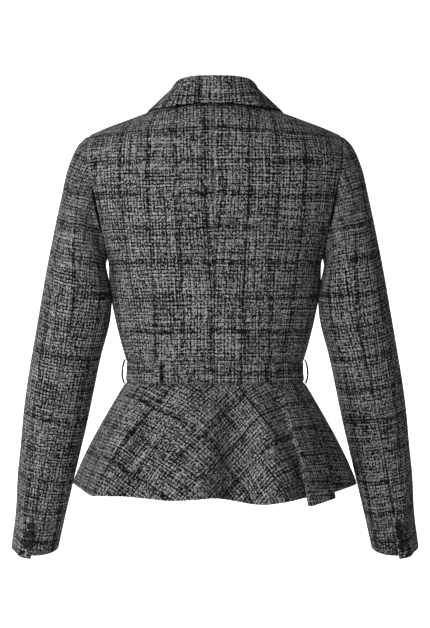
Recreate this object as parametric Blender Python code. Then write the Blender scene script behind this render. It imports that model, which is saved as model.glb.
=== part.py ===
"""Peplum jacket in black and off-white tweed, standing in the form of a wearer.

Millimetres in the tables, metres in the mesh. +Z is up, the wearer faces -Y and
the wearer's left is +X. The origin is midway between the two neck points of the
shoulder seams. Every cut piece of cloth is one closed wall CLOTH thick, and the
pieces are SEAM apart where they are sewn.
"""
import math

import bpy
import numpy as np

for old in list(bpy.data.objects):
    bpy.data.objects.remove(old, do_unlink=True)

CLOTH = 2.0          # thickness of the tweed wall
SEAM = 0.32          # gap left at a sewn seam
SQUARE = 0.05        # how far the body sections are squarer than an ellipse
WAIST_TOP = -381.0   # seam between bodice and waistband
WAIST_LOW = -412.0   # seam between waistband and peplum
UNDERARM = -228.0    # lowest point of the armhole
NECK_X = 78.0        # neck point of the shoulder seam
TIP = np.array([190.0, -4.0, -42.3])   # outer end of the shoulder seam
LAP = 18.0           # how far each front passes the centre line
BREAK_Z = -215.0     # where the right lapel starts to roll
ROLL = 0.41          # sideways run of the roll line for each unit of height
UNDER_LAP = 2.8      # how far the left front lies beneath the right one

# level of the section, half width behind and in front, depth behind and in front
BODY = np.array([
    # z,    wide_b, wide_f, back,  front
    [-420, 134.6, 134.6, 90.0, 96.0],
    [-381, 133.2, 133.2, 90.0, 96.0],
    [-358, 139.5, 139.5, 91.5, 99.5],
    [-322, 148.5, 148.5, 95.5, 108.0],
    [-290, 155.0, 155.0, 99.5, 116.0],
    [-258, 158.8, 158.8, 103.5, 122.0],
    [-228, 161.5, 161.5, 106.0, 123.0],
    [-214, 168.0, 166.0, 106.8, 122.0],
    [-190, 178.5, 173.0, 107.6, 119.0],
    [-160, 190.0, 184.0, 108.0, 113.0],
    [-110, 206.0, 214.0, 106.5, 99.0],
])

# armhole edge: level at the centre, level at the edge, reach behind and in front
ARM = np.array([
    # z_mid, z_edge, behind, before
    [-228, -228.0, 0.0, 0.0],
    [-210, -225.0, 17.0, 19.0],
    [-192, -215.0, 31.0, 36.0],
    [-172, -196.0, 43.0, 51.0],
    [-151, -170.0, 50.5, 60.0],
    [-130, -141.0, 55.0, 65.0],
    [-110, -110.0, 56.0, 67.0],
])

# sleeve rings below the armhole: outer and inner point, middle, half depth, tip
SLEEVE = np.array([
    # out_x, out_z, in_x,  in_z,   mid_y, deep, tip_deg, along
    [206.0, -58.0, 163.9, -236.0, -4.0, 64.0, 0.0, 0.040],
    [219.5, -89.5, 164.4, -245.0, -3.0, 64.5, 0.0, 0.085],
    [231.2, -142.0, 162.8, -256.0, -1.0, 63.0, 0.0, 0.145],
    [241.5, -194.0, 160.2, -271.0, 4.0, 60.5, 0.0, 0.225],
    [251.3, -248.0, 157.0, -291.0, 9.0, 57.0, 0.0, 0.315],
    [262.7, -310.5, 160.4, -328.0, 8.0, 53.0, 2.0, 0.415],
    [272.3, -358.5, 171.0, -374.5, 2.0, 50.0, 6.0, 0.500],
    [281.6, -406.9, 181.8, -422.9, -9.0, 48.0, 10.0, 0.575],
    [289.4, -455.7, 192.6, -471.8, -21.0, 46.0, 12.0, 0.655],
    [295.0, -505.0, 205.0, -521.3, -33.0, 44.0, 13.0, 0.735],
    [301.3, -554.8, 217.4, -571.1, -45.0, 42.0, 13.5, 0.820],
    [306.0, -614.0, 231.6, -628.0, -59.0, 40.0, 14.0, 0.915],
    [314.0, -667.0, 241.2, -669.0, -72.0, 38.5, 14.5, 1.000],
])

# hem of the peplum round the wearer from the left side through the back
HEM_BACK = np.array([
    # x,    y,      z
    [214.0, 0.0, -563.0],       # left side seam
    [197.5, 54.0, -566.0],
    [179.5, 107.0, -570.0],     # corner fold at the left
    [168.0, 122.0, -569.0],
    [128.0, 134.0, -570.0],     # shallow hollow
    [70.0, 156.0, -572.5],      # broad crest
    [22.0, 155.0, -569.5],
    [-4.0, 146.0, -572.0],      # under the centre back
    [-30.0, 137.0, -579.5],     # main hollow
    [-58.0, 156.0, -579.0],     # second crest
    [-86.0, 155.0, -575.0],
    [-108.0, 131.0, -572.5],
    [-128.0, 117.5, -572.5],    # third hollow, which runs on behind the flute
    [-142.0, 116.0, -573.5],
    [-146.0, 126.0, -575.5],    # its end, hidden by the flute
    [-138.5, 138.0, -578.0],
    [-131.0, 149.0, -580.5],    # near edge of the standing flute
    [-137.0, 155.0, -581.0],
    [-152.0, 147.5, -579.0],
    [-166.0, 136.0, -576.0],
    [-172.5, 126.0, -573.0],    # far edge of the flute
    [-166.5, 113.0, -568.5],    # neck behind the flute
    [-180.0, 86.0, -567.0],
    [-204.0, 45.0, -563.5],
    [-213.5, 0.0, -564.0],      # right side seam
])
HEM_RIGHT = np.array([
    [-213.5, 0.0, -564.0],
    [-207.0, -52.0, -563.5],
    [-180.0, -100.0, -566.0],   # crest
    [-138.0, -122.0, -567.0],   # hollow
    [-96.0, -158.0, -570.0],    # crest
    [-58.0, -160.0, -569.0],
    [-32.0, -168.0, -570.0],
    [-9.0, -169.0, -570.0],     # front edge
])
HEM_LEFT = np.array([
    [214.0, 0.0, -563.0],
    [208.0, -46.0, -563.0],
    [186.0, -98.0, -566.0],     # crest
    [146.0, -118.0, -567.0],    # hollow
    [104.0, -152.0, -570.0],    # crest
    [58.0, -160.0, -569.0],
    [32.0, -168.0, -570.0],
    [9.0, -169.0, -570.0],      # front edge
])

# collar stations from the centre back: fold centre, then the edge of the fall
COLLAR = np.array([
    # at,  fold_x, fold_y, fold_z, edge_x, edge_y, edge_z
    [0.00, 0.0, 57.0, 36.8, 0.0, 78.5, -2.0],
    [0.27, 36.0, 51.0, 35.5, 43.0, 73.0, -3.5],
    [0.45, 54.0, 33.0, 32.5, 79.0, 47.0, -4.5],
    [0.55, 61.5, 8.0, 27.5, 101.0, 8.0, -3.2],
    [0.70, 65.5, -22.0, 12.0, 108.5, -28.0, -12.0],
    [0.85, 61.5, -50.0, -10.0, 107.0, -55.0, -33.0],
    [1.00, 53.0, -79.0, -33.0, 97.0, -71.5, -48.0],
])

# lapel: height of its line on the roll, width, and drop of the line outward
LAPEL = np.array([
    # row_z, wide, drop
    [-40.0, 60.0, 27.0],
    [-66.0, 63.0, 28.0],
    [-110.0, 52.0, 24.0],
    [-150.0, 36.0, 16.0],
    [-190.0, 15.0, 6.0],
    [-212.0, 4.0, 0.0],
])


def through(keys, rows, t):
    """Smooth curve through the rows at their keys (cubic, slopes from neighbours)."""
    keys = np.asarray(keys, float)
    rows = np.asarray(rows, float)
    t = np.asarray(t, float)
    step = np.diff(keys)
    wide = step.reshape((-1,) + (1,) * (rows.ndim - 1))
    slope = np.diff(rows, axis=0) / wide
    m = np.empty_like(rows)
    m[0], m[-1] = slope[0], slope[-1]
    m[1:-1] = (slope[:-1] * wide[1:] + slope[1:] * wide[:-1]) / (wide[1:] + wide[:-1])
    j = np.clip(np.searchsorted(keys, t, side='right') - 1, 0, len(keys) - 2)
    more = t.shape + (1,) * (rows.ndim - 1)
    d = step[j].reshape(more)
    x = ((t - keys[j]) / step[j]).reshape(more)
    return (rows[j] * (2 * x**3 - 3 * x**2 + 1) + m[j] * d * (x**3 - 2 * x**2 + x)
            + rows[j + 1] * (3 * x**2 - 2 * x**3) + m[j + 1] * d * (x**3 - x**2))


def ease(x):
    """0 below 0, 1 above 1, smooth between."""
    x = np.clip(x, 0.0, 1.0)
    return x * x * (3 - 2 * x)


def unit(v):
    return v / np.maximum(np.linalg.norm(v, axis=-1, keepdims=True), 1e-9)


def body(theta, z, way):
    """Point of the body section: theta 0 at the side, 90 degrees at the centre."""
    wide = through(BODY[:, 0], BODY[:, 1 if way > 0 else 2], z)
    deep = through(BODY[:, 0], BODY[:, 3 if way > 0 else 4], z)
    q = 1 + SQUARE * np.sin(2 * theta) ** 2
    return np.stack([wide * np.cos(theta) * q, way * deep * np.sin(theta) * q,
                     z + 0 * theta], axis=-1)


def theta_at(value, z, way, axis):
    """Angle where the section has the asked x (axis 0) or reach (axis 1)."""
    low = np.zeros(np.shape(value)) + 0 * z
    high = low + (math.pi if axis == 0 else math.pi / 2)
    for _ in range(40):
        mid = (low + high) / 2
        got = body(mid, z, way)[..., axis]
        less = got > value if axis == 0 else got * way < value
        low = np.where(less, mid, low)
        high = np.where(less, high, mid)
    return (low + high) / 2


def front_edge_x(z):
    """Distance of the front's inner edge from the centre line, below the neck."""
    return -LAP + ROLL * np.maximum(z - BREAK_Z, 0.0)


def below(u, v, way):
    """Bodice below the chest: v 0 to 1 up to the underarm, 1 to 2 up the armhole."""
    level = WAIST_TOP + SEAM + (UNDERARM - WAIST_TOP - SEAM) * np.minimum(v, 1.0)
    up = np.clip(v - 1.0, 0.0, 1.2)
    rows = np.linspace(0, 1, len(ARM))
    mid = through(rows, ARM[:, 0], up)
    edge = through(rows, ARM[:, 1], up)
    reach = np.maximum(through(rows, ARM[:, 2 if way > 0 else 3], up), 0.0)
    z = np.where(v > 1.0, mid + (edge - mid) * np.clip(u, 0, 1.2) ** 1.5, level)
    z_edge = np.where(v > 1.0, edge, level)
    end = np.where(v > 1.0, theta_at(reach, z_edge, way, 1), 0.0)
    if way > 0:
        start = math.pi / 2 + 0 * z
    else:
        z_in = np.where(v > 1.0, mid, level)
        start = theta_at(front_edge_x(z_in), z_in, way, 0)
    return body(start + (end - start) * u, z, way)


NECK_U = 0.42        # share of the back's top row that lies along the neckline


def top_row(u, way):
    """Top edge of a bodice piece and the direction in which its cloth leaves it."""
    if way > 0:
        tau = np.clip(u / NECK_U, -0.1, 1.0) * math.pi / 2
        neck = np.stack([NECK_X * np.sin(tau), 62 * np.cos(tau),
                         3 * np.cos(tau) ** 2], -1)
        along = (u - NECK_U) / (1 - NECK_U)
    else:
        neck = None
        along = u
    x = NECK_X + (TIP[0] - NECK_X) * along
    z = -0.364 * (x - NECK_X) - 1.5 * ease((x - 160) / 30)
    ridge = np.stack([x, TIP[1] * along, z], -1)
    if way > 0:
        on_neck = (u < NECK_U)[..., None]
        top = np.where(on_neck, neck, ridge)
        steep = np.where(u < NECK_U, math.radians(46) * np.cos(tau) ** 1.5, 0.0)
    else:
        top, steep = ridge, 0 * u
    leave = np.stack([0 * u, way * np.cos(steep), -np.sin(steep)], -1)
    return top, leave, steep


def bodice(u, v, way):
    """Surface of a bodice piece; v 2 to 3 is the rounding up to neck and shoulder."""
    u, v = np.broadcast_arrays(np.asarray(u, float), np.asarray(v, float))
    low = below(u, np.minimum(v, 2.0), way)
    base = below(u, np.full(u.shape, 2.0), way)
    slope = (base - below(u, np.full(u.shape, 1.97), way))
    slope = slope / np.maximum(slope[..., 2:], 1e-6)
    top, leave, steep = top_row(u, way)
    rise = (top[..., 2:] - base[..., 2:])
    pull = np.abs(base[..., 1:2] - top[..., 1:2])
    p1 = base + slope * rise * 0.5
    p2 = top + leave * pull * (0.55 - 0.1 * np.sin(steep)[..., None])
    t = np.clip(v - 2.0, 0.0, 1.05)[..., None]
    cap = ((1 - t) ** 3 * base + 3 * (1 - t) ** 2 * t * p1
           + 3 * (1 - t) * t * t * p2 + t ** 3 * top)
    return np.where((v > 2.0)[..., None], cap, low)


def normals(surface, u, v, way, e=0.004):
    """Outward directions of a surface by small steps along it."""
    du = surface(u + e, v, way) - surface(u - e, v, way)
    hi = np.minimum(v + e, 3.0)
    lo = np.where(v > 2.9, v - e, np.maximum(v - e, 0.0))
    dv = surface(u, hi, way) - surface(u, lo, way)
    return unit(np.cross(du, dv)) * -way


def material(name, shade):
    mat = bpy.data.materials.new(name)
    mat.use_nodes = True
    base = mat.node_tree.nodes['Principled BSDF']
    base.inputs['Base Color'].default_value = (shade, shade * 0.97, shade * 0.93, 1)
    base.inputs['Roughness'].default_value = 0.9
    return mat


def solid(name, points, faces, shade=0.08):
    """A closed mesh from millimetre points, mirrored faces turned outward."""
    mesh = bpy.data.meshes.new(name)
    mesh.from_pydata((np.asarray(points) * 0.001).tolist(), [], faces)
    mesh.update()
    ob = bpy.data.objects.new(name, mesh)
    bpy.context.scene.collection.objects.link(ob)
    mesh.materials.append(material(name, shade))
    return ob


def wall(name, grid, away, outer=0.0, inner=CLOTH, ring=False, shade=0.08):
    """Closed wall between two copies of a grid moved along their directions."""
    rows, cols = grid.shape[:2]
    a = (grid + away * outer).reshape(-1, 3)
    b = (grid - away * inner).reshape(-1, 3)
    n = rows * cols
    faces = []
    last = cols if ring else cols - 1
    for r in range(rows - 1):
        for c in range(last):
            d = (c + 1) % cols
            p, q, s, t = r * cols + c, r * cols + d, (r + 1) * cols + d, (r + 1) * cols + c
            faces.append((p, q, s, t))
            faces.append((n + t, n + s, n + q, n + p))
    for c in range(last):
        d = (c + 1) % cols
        faces.append((n + c, n + d, d, c))
        k = (rows - 1) * cols
        faces.append((k + c, k + d, n + k + d, n + k + c))
    if not ring:
        for r in range(rows - 1):
            p, t = r * cols, (r + 1) * cols
            faces.append((p, t, n + t, n + p))
            p, t = p + cols - 1, t + cols - 1
            faces.append((n + p, n + t, t, p))
    points = np.vstack([a, b])
    # the winding is turned if the wall's outer faces look inward
    du = np.roll(grid, -1, axis=1)[:-1, :-1] - grid[:-1, :-1]
    dv = grid[1:, :-1] - grid[:-1, :-1]
    if float((np.cross(du, dv) * away[:-1, :-1]).sum()) < 0:
        faces = [f[::-1] for f in faces]
    return solid(name, points, faces, shade)


def mirror(p):
    return p * np.array([-1.0, 1.0, 1.0])


def pull_in(grid, by, side):
    """Move the first or last column of a grid along its rows, for a seam gap."""
    out = grid.copy()
    a, b = (0, 1) if side == 'first' else (-1, -2)
    out[:, a] += unit(grid[:, b] - grid[:, a]) * np.reshape(by, (-1, 1))
    return out


# Bodice
V_LOW = np.linspace(0, 1, 8)
V_ARM = np.linspace(1, 2, 7)[1:]
V_CAP = np.linspace(2, 3, 7)[1:]
V_ALL = np.concatenate([V_LOW, V_ARM, V_CAP])
ARM_ROW = 7
GORGE_ROW = 7 + 6 + 3
NECK_COLS = 5
U_BACK = np.concatenate([np.linspace(0, NECK_U, NECK_COLS + 1),
                         np.linspace(NECK_U, 1, 8)[1:]])
U_FRONT = np.linspace(0, 1, 12)

ub, vb = np.meshgrid(U_BACK, V_ALL)
BACK = bodice(ub, vb, 1)
BACK_N = normals(bodice, ub, vb, 1)
uf, vf = np.meshgrid(U_FRONT, V_ALL)
FRONT = bodice(uf, vf, -1)
FRONT_N = normals(bodice, uf, vf, -1)
# the two walls share one direction along the shoulder and the side seam
BACK_N[:ARM_ROW + 1, -1] = FRONT_N[:ARM_ROW + 1, -1] = [1.0, 0.0, 0.0]
for grid_n in (BACK_N[-1, NECK_COLS:], FRONT_N[-1]):
    grid_n[:] = unit(np.array([0.342, 0.0, 0.94]))


def under(grid, away):
    """The left front sinks beneath the right one where they lap."""
    x, z = grid[..., 0], grid[..., 2]
    sink = UNDER_LAP * ease((36 - x) / 14) * ease((-126 - z) / 26)
    return grid - away * sink[..., None]


def seam_side(grid):
    """Half a seam's gap at the side seam below the underarm."""
    out = grid.copy()
    step = unit(grid[:ARM_ROW + 1, -2] - grid[:ARM_ROW + 1, -1])
    out[:ARM_ROW + 1, -1] += step * SEAM / 2
    return out


def shoulder_gap(grid, cols):
    """Half a seam's gap along the shoulder."""
    out = grid.copy()
    out[-1, cols] += unit(grid[-2, cols] - grid[-1, cols]) * SEAM / 2
    return out


back = shoulder_gap(seam_side(BACK), slice(NECK_COLS, None))
back[:, 0, 0] += SEAM / 2
front = shoulder_gap(seam_side(FRONT), slice(None))
wall('back_left', back, BACK_N)
wall('back_right', mirror(back), mirror(BACK_N))
wall('front_right', mirror(front), mirror(FRONT_N))
wall('front_left', under(front, FRONT_N), FRONT_N)

# Waistband and its ring
BAND_ROWS = np.array([WAIST_LOW + SEAM, (WAIST_LOW + WAIST_TOP) / 2, WAIST_TOP])


def ring_piece(theta, z, way):
    th, zz = np.meshgrid(theta, z)
    p = body(th, zz, way)
    e = 0.002
    n = unit(np.cross(body(th + e, zz, way) - body(th - e, zz, way), [0, 0, 1.0])) * way
    return p, n


TH_BACK = np.linspace(math.pi / 2, 0, 11)
CF = float(theta_at(np.array(-LAP), np.array(-400.0), -1, 0))
TH_FRONT = np.linspace(CF, 0, 12)
p, n = ring_piece(TH_BACK, BAND_ROWS, 1)
n[:, -1] = [1, 0, 0]
p = pull_in(p, SEAM / 2, 'last')
p[:, 0, 0] += SEAM / 2
wall('waistband_back_left', p, n)
wall('waistband_back_right', mirror(p), mirror(n))
p, n = ring_piece(TH_FRONT, BAND_ROWS, -1)
n[:, -1] = [1, 0, 0]
p = pull_in(p, SEAM / 2, 'last')
wall('waistband_front_right', mirror(p), mirror(n))
wall('waistband_front_left', under(p, n), n)

# Peplum
PEPLUM_ROWS = np.linspace(0, 1, 9)
PEPLUM_BOW = 4.8     # how far the cloth swells out between waist and hem


def by_length(curve, count):
    """The curve read at even steps of its length."""
    run = np.concatenate([[0], np.cumsum(np.linalg.norm(np.diff(curve, axis=0), axis=1))])
    at = np.linspace(0, run[-1], count)
    return np.stack([np.interp(at, run, curve[:, k]) for k in range(3)], -1)


def flare(top, hem):
    """Cloth from the waist seam to the waved hem, bowed a little outward."""
    v = PEPLUM_ROWS[:, None, None]
    out = unit((hem - top) * np.array([1.0, 1.0, 0.0]))
    swell = PEPLUM_BOW * np.abs(np.sin(math.pi * v ** 1.3)) ** 0.75
    return top[None] + (hem - top)[None] * v + out[None] * swell


def grid_normals(g, ring=False):
    if ring:
        du = np.roll(g, -1, 1) - np.roll(g, 1, 1)
    else:
        du = np.gradient(g, axis=1)
    dv = np.gradient(g, axis=0)
    return unit(np.cross(du, dv))


def hem_curve(table, count):
    fine = through(np.arange(len(table)), table, np.linspace(0, len(table) - 1, 60 * len(table)))
    return by_length(fine, count)


def waist_curve(a, b, way, sign, count):
    th = np.linspace(a, b, 400)
    p = body(th, np.full(400, WAIST_LOW), way)
    p[:, 0] *= sign
    return by_length(p, count)


HALF = 22            # columns in the left half of the back
FOLDED = 48          # and in the right half, which has the standing flute
left_hem = hem_curve(HEM_BACK, 2000)
centre = int(np.argmin(np.abs(left_hem[:, 0] + 2) + (left_hem[:, 1] < 0) * 999))
hem_b = np.vstack([by_length(left_hem[:centre + 1], HALF),
                   by_length(left_hem[centre:], FOLDED)[1:]])
top_b = np.vstack([waist_curve(0, math.pi / 2, 1, 1, HALF),
                   waist_curve(math.pi / 2, 0, 1, -1, FOLDED)[1:]])
pep = flare(top_b, hem_b)
pep_n = grid_normals(pep)
pep_n *= np.sign((pep_n[:, :, :2] * pep[:, :, :2]).sum())
PEP_BACK, PEP_BACK_N = pep, pep_n
right = flare(waist_curve(0, CF, -1, -1, 18), hem_curve(HEM_RIGHT, 18))
left = flare(waist_curve(0, CF, -1, 1, 18), hem_curve(HEM_LEFT, 18))


def side_seams(grid, away, first, last):
    for flag, col, nxt in ((first, 0, 1), (last, -1, -2)):
        if flag is not None:
            away[:, col] = flag
            grid[:, col] += unit(grid[:, nxt] - grid[:, col]) * SEAM / 2
    return grid, away


def facing_out(grid):
    n = grid_normals(grid)
    return n * np.sign((n[:, :, :2] * grid[:, :, :2]).sum())


right_n, left_n = facing_out(right), facing_out(left)
meet_l = unit(pep_n[:, 0] + left_n[:, 0])
meet_r = unit(pep_n[:, -1] + right_n[:, 0])
pep, pep_n = side_seams(pep.copy(), pep_n.copy(), meet_l, meet_r)
right, right_n = side_seams(right, right_n, meet_r, None)
left, left_n = side_seams(left, left_n, meet_l, None)
left = left - left_n * (UNDER_LAP * ease((60 - left[..., 0]) / 24))[..., None]
# the wall hangs from a level seam, so its top edge is cut level
for g in (pep_n, right_n, left_n):
    g[0, :, 2] = 0
    g[0] = unit(g[0])
wall('peplum_back', pep, pep_n)
wall('peplum_front_right', right, right_n)
wall('peplum_front_left', left, left_n)

# Sleeves
ARM_BACK = BACK[ARM_ROW:, -1]          # underarm up to the tip, behind
ARM_FRONT = FRONT[ARM_ROW:, -1]
ARM_RING = np.vstack([ARM_BACK[::-1], ARM_FRONT[1:-1]])     # tip, back, underarm, front
ARM_N = np.vstack([BACK_N[ARM_ROW:, -1][::-1], FRONT_N[ARM_ROW:, -1][1:-1]])
RING = len(ARM_RING)
HALF_RING = RING // 2
SEAM_BACK, SEAM_FRONT = 7, 16          # columns of the two sleeve seams
SLEEVE_V = np.concatenate([[0], np.array([0.02, 0.045, 0.085, 0.13, 0.18, 0.235, 0.29, 0.345,
                            0.4, 0.45, 0.5, 0.55, 0.61, 0.67, 0.73, 0.79, 0.85,
                            0.875, 0.9, 0.95, 1.0])])
VENT = 0.885


def ring_angles():
    """Angle of each sleeve column at the armhole by its share of the edge's length."""
    loop = np.vstack([ARM_RING, ARM_RING[:1]])
    run = np.concatenate([[0], np.cumsum(np.linalg.norm(np.diff(loop, axis=0), axis=1))])
    down = run[:HALF_RING + 1] / run[HALF_RING] * math.pi
    up = math.pi + (run[HALF_RING:-1] - run[HALF_RING]) / (run[-1] - run[HALF_RING]) * math.pi
    return np.concatenate([down, up[1:]])


ANGLE = ring_angles()


def sleeve_grid(v):
    """Rings of the sleeve from the armhole to the cuff."""
    keys = np.concatenate([[0], SLEEVE[:, 7]])
    tent = np.interp(np.arange(RING), [0, SEAM_BACK, HALF_RING, RING], [0, 1, 0, 0])
    rows = [ARM_RING + np.array([0.5, 0, 0])]
    for out_x, out_z, in_x, in_z, mid_y, deep, tip, along in SLEEVE:
        want = math.radians(100 - 21 * along)
        ang = ANGLE + tent * (want - ANGLE[SEAM_BACK])
        mid = np.array([(out_x + in_x) / 2, mid_y, (out_z + in_z) / 2])
        arm = np.array([(out_x - in_x) / 2, 0, (out_z - in_z) / 2])
        tip = math.radians(tip)
        back_way = np.array([0, math.cos(tip), -math.sin(tip)]) * deep
        rows.append(mid + np.cos(ang)[:, None] * arm + np.sin(ang)[:, None] * back_way)
    g = through(keys, np.array(rows), v)
    # largest folds: shallow troughs on the back of the sleeve under the armhole
    return g


TROUGHS = {
    'left': ((217.0, -130.0, 166.0, -190.0, 5.0, 11.0),),
    'right': ((176.0, -148.0, 164.0, -188.0, 4.0, 9.0),
              (218.0, -148.0, 196.0, -184.0, 5.0, 11.0)),
}


def with_troughs(g, n, side):
    """Sink the cloth behind along short lines given by their ends in x and z."""
    out = g.copy()
    behind = ease((n[..., 1] - 0.1) / 0.4)
    for x0, z0, x1, z1, deep, wide in TROUGHS[side]:
        a, d = np.array([x0, z0]), np.array([x1 - x0, z1 - z0])
        q = g[..., [0, 2]] - a
        t = np.clip((q @ d) / (d @ d), 0, 1)
        off = np.linalg.norm(q - t[..., None] * d, axis=-1)
        sink = deep * np.exp(-(off / wide) ** 2) * behind
        sink[:2] *= np.array([[0.0], [0.5]])
        out -= n * sink[..., None]
    return out


def sleeve(side):
    g = sleeve_grid(SLEEVE_V)
    n = grid_normals(g, True)
    n *= np.sign((n[10] * (g[10] - g[10].mean(0))).sum())
    g = with_troughs(g, n, side)
    dot = (n[0] * ARM_N).sum(-1, keepdims=True)
    w = ease((dot + 0.2) / 0.7)
    n[0] = unit(n[0] * (1 - w) + ARM_N * w)
    turn = mirror if side == 'right' else (lambda a: a)
    top_cols = np.arange(SEAM_FRONT - RING, SEAM_BACK + 1)
    low_cols = np.arange(SEAM_BACK, SEAM_FRONT + 1)
    up, up_n = g[:, top_cols].copy(), n[:, top_cols].copy()
    lo, lo_n = g[:, low_cols].copy(), n[:, low_cols].copy()
    # the seam starts a little wider where the cloth turns hard at the armhole
    half = SEAM / 2 + 0.45 * np.exp(-SLEEVE_V / 0.05)
    up = pull_in(pull_in(up, half, 'first'), half, 'last')
    lo = pull_in(pull_in(lo, half, 'first'), half, 'last')
    # the vent: the upper sleeve rises over the under sleeve and passes its edge
    v = SLEEVE_V[:, None]
    cols = np.arange(up.shape[1])[None, :] - (up.shape[1] - 1)
    rise = 3.0 * ease((v - VENT + 0.06) / 0.045) * ease((cols + 3.0) / 2.0)
    up += up_n * rise[..., None]
    past = 4.5 * ease((SLEEVE_V - VENT) / 0.02)
    side_way = unit(up[:, -1] - up[:, -2])
    turn_line = up[:, -1] - side_way * (4.6 - past)[:, None]
    edge_line = up[:, -1] + unit(lo[:, 1] - lo[:, 0]) * past[:, None]
    up = np.concatenate([up[:, :-1], turn_line[:, None], edge_line[:, None]], axis=1)
    up_n = np.concatenate([up_n, up_n[:, -1:]], axis=1)
    cols = np.append(cols[0], 0)[None, :]
    hang = 4.0 * ease((cols[0] + 3.0) / 3.0)
    up[-1, :, 2] -= hang
    wall('upper_sleeve_' + side, turn(up), turn(up_n))
    wall('under_sleeve_' + side, turn(lo), turn(lo_n))
    return up, up_n


UP_LEFT, UP_N = sleeve('left')
sleeve('right')

# Collar
LEAF = 2.2           # thickness of a doubled collar or lapel leaf


def collar():
    neck_b = BACK[-1, :NECK_COLS + 1]
    neck_f = FRONT[GORGE_ROW:, 0][::-1]                    # neck point down to the gorge
    base = np.vstack([neck_b, neck_f[1:]])
    nb = BACK_N[-1, :NECK_COLS + 1]
    nf = FRONT_N[GORGE_ROW:, 0][::-1]
    base_n = np.vstack([nb, nf[1:]])
    inside_b = unit(BACK[-1, :NECK_COLS + 1] - BACK[-2, :NECK_COLS + 1])
    inside_f = unit(FRONT[GORGE_ROW:, 0] - FRONT[GORGE_ROW:, 1])[::-1]
    inside = np.vstack([inside_b, inside_f[1:]])
    inside[NECK_COLS] = unit(np.array([-1.0, 0, 0.1]))
    at = np.concatenate([np.linspace(0, 0.55, NECK_COLS + 1),
                         np.linspace(0.55, 1.0, len(neck_f))[1:]])
    fold = through(COLLAR[:, 0], COLLAR[:, 1:4], at)
    edge = through(COLLAR[:, 0], COLLAR[:, 4:7], at)
    root = base - base_n * CLOTH / 2 + inside * (SEAM + 0.15)
    tang = unit(np.gradient(fold, axis=0))
    tang[0] = [1, 0, 0]
    out = edge - root
    out = unit(out - (out * tang).sum(-1, keepdims=True) * tang)
    up = unit(np.cross(out, tang))
    up *= np.sign((up * (fold - root)).sum(-1, keepdims=True))
    r = 3.0
    rows = []
    for k in (0.0, 0.3, 0.62, 0.9):
        rows.append(root + (fold - out * r - root) * k)
    for a in (0, 45, 90, 135, 180):
        c, s = math.cos(math.radians(a)), math.sin(math.radians(a))
        rows.append(fold + r * (-out * c + up * s))
    start = fold + out * r
    for k in (0.22, 0.48, 0.76, 1.0):
        bow = 0.8 * math.sin(math.pi * k)
        rows.append(start + (edge - start) * k + up * bow)
    g = np.array(rows)
    n = grid_normals(g)
    n *= np.sign((n[6] * up).sum())
    n[:, 0, 0] = 0
    n = unit(n)
    n[0] = base_n
    full = np.concatenate([mirror(g)[:, :0:-1], g], axis=1)
    full_n = np.concatenate([mirror(n)[:, :0:-1], n], axis=1)
    wall('collar', full, full_n, LEAF / 2, LEAF / 2)
    return full, full_n


COLLAR_G, COLLAR_GN = collar()


# Lapels
def lapel(side):
    first = V_ALL[GORGE_ROW] - 0.05
    rows_v = np.linspace(first, 1.12, 12)
    if side == 'left':
        rows_v = np.linspace(first, 1.66, 10)
    e = 1e-3
    edge = bodice(0 * rows_v, rows_v, -1)
    z = edge[:, 2]
    order = np.argsort(LAPEL[:, 0])
    wide = through(LAPEL[order, 0], LAPEL[order, 1], z)
    drop = through(LAPEL[order, 0], LAPEL[order, 2], z)
    if side == 'left':
        wide = wide * ease((z + 158) / 60) + 3 * (1 - ease((z + 158) / 60))
        drop = drop * ease((z + 158) / 60)
    across = np.linalg.norm(bodice(0 * rows_v + e, rows_v, -1) - edge, axis=1) / e
    climb = (bodice(0 * rows_v, rows_v + e, -1) - bodice(0 * rows_v, rows_v - e, -1))[:, 2] / (2 * e)
    r = np.minimum(2.6, 1.3 + wide * 0.05)
    prof = [(-SEAM - 0.1 + 0 * r, -CLOTH / 2 + 0 * r)]
    for a in (30, 75, 120, 165):
        c, s = math.cos(math.radians(a)), math.sin(math.radians(a))
        prof.append((-SEAM - 0.3 - r * s, -CLOTH / 2 + r * (1 - c)))
    for k in (0.12, 0.35, 0.6, 0.82, 1.0):
        high = -CLOTH / 2 + 2 * r
        prof.append((wide * k, high + (LEAF / 2 + 0.5 - high) * k ** 0.8))
    g, hs = [], []
    for d, h in prof:
        k = np.clip(d / np.maximum(wide, 1), 0, 1)
        u = d / across
        v = rows_v - drop * k / climb
        p0 = bodice(np.maximum(u, 0.0), v, -1)
        n0 = normals(bodice, np.maximum(u, 0.0), v, -1)
        inward = unit(bodice(0 * u, v, -1) - bodice(0 * u + 0.01, v, -1))
        p0 = p0 + inward * np.maximum(-d, 0)[:, None]
        if side == 'left':
            p0 = under(p0, n0)
        g.append(p0 + n0 * h[:, None])
        hs.append(n0)
    g = np.array(g)
    n = grid_normals(g)
    n *= np.sign((n[-1] * np.array(hs)[-1]).sum())
    n[0] = -hs[0] * 1.0
    n[0] *= np.sign((n[0] * n[1]).sum())
    turn = mirror if side == 'right' else (lambda a: a)
    wall('lapel_' + side, turn(g), turn(n), LEAF / 2, LEAF / 2)


lapel('right')
lapel('left')


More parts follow.
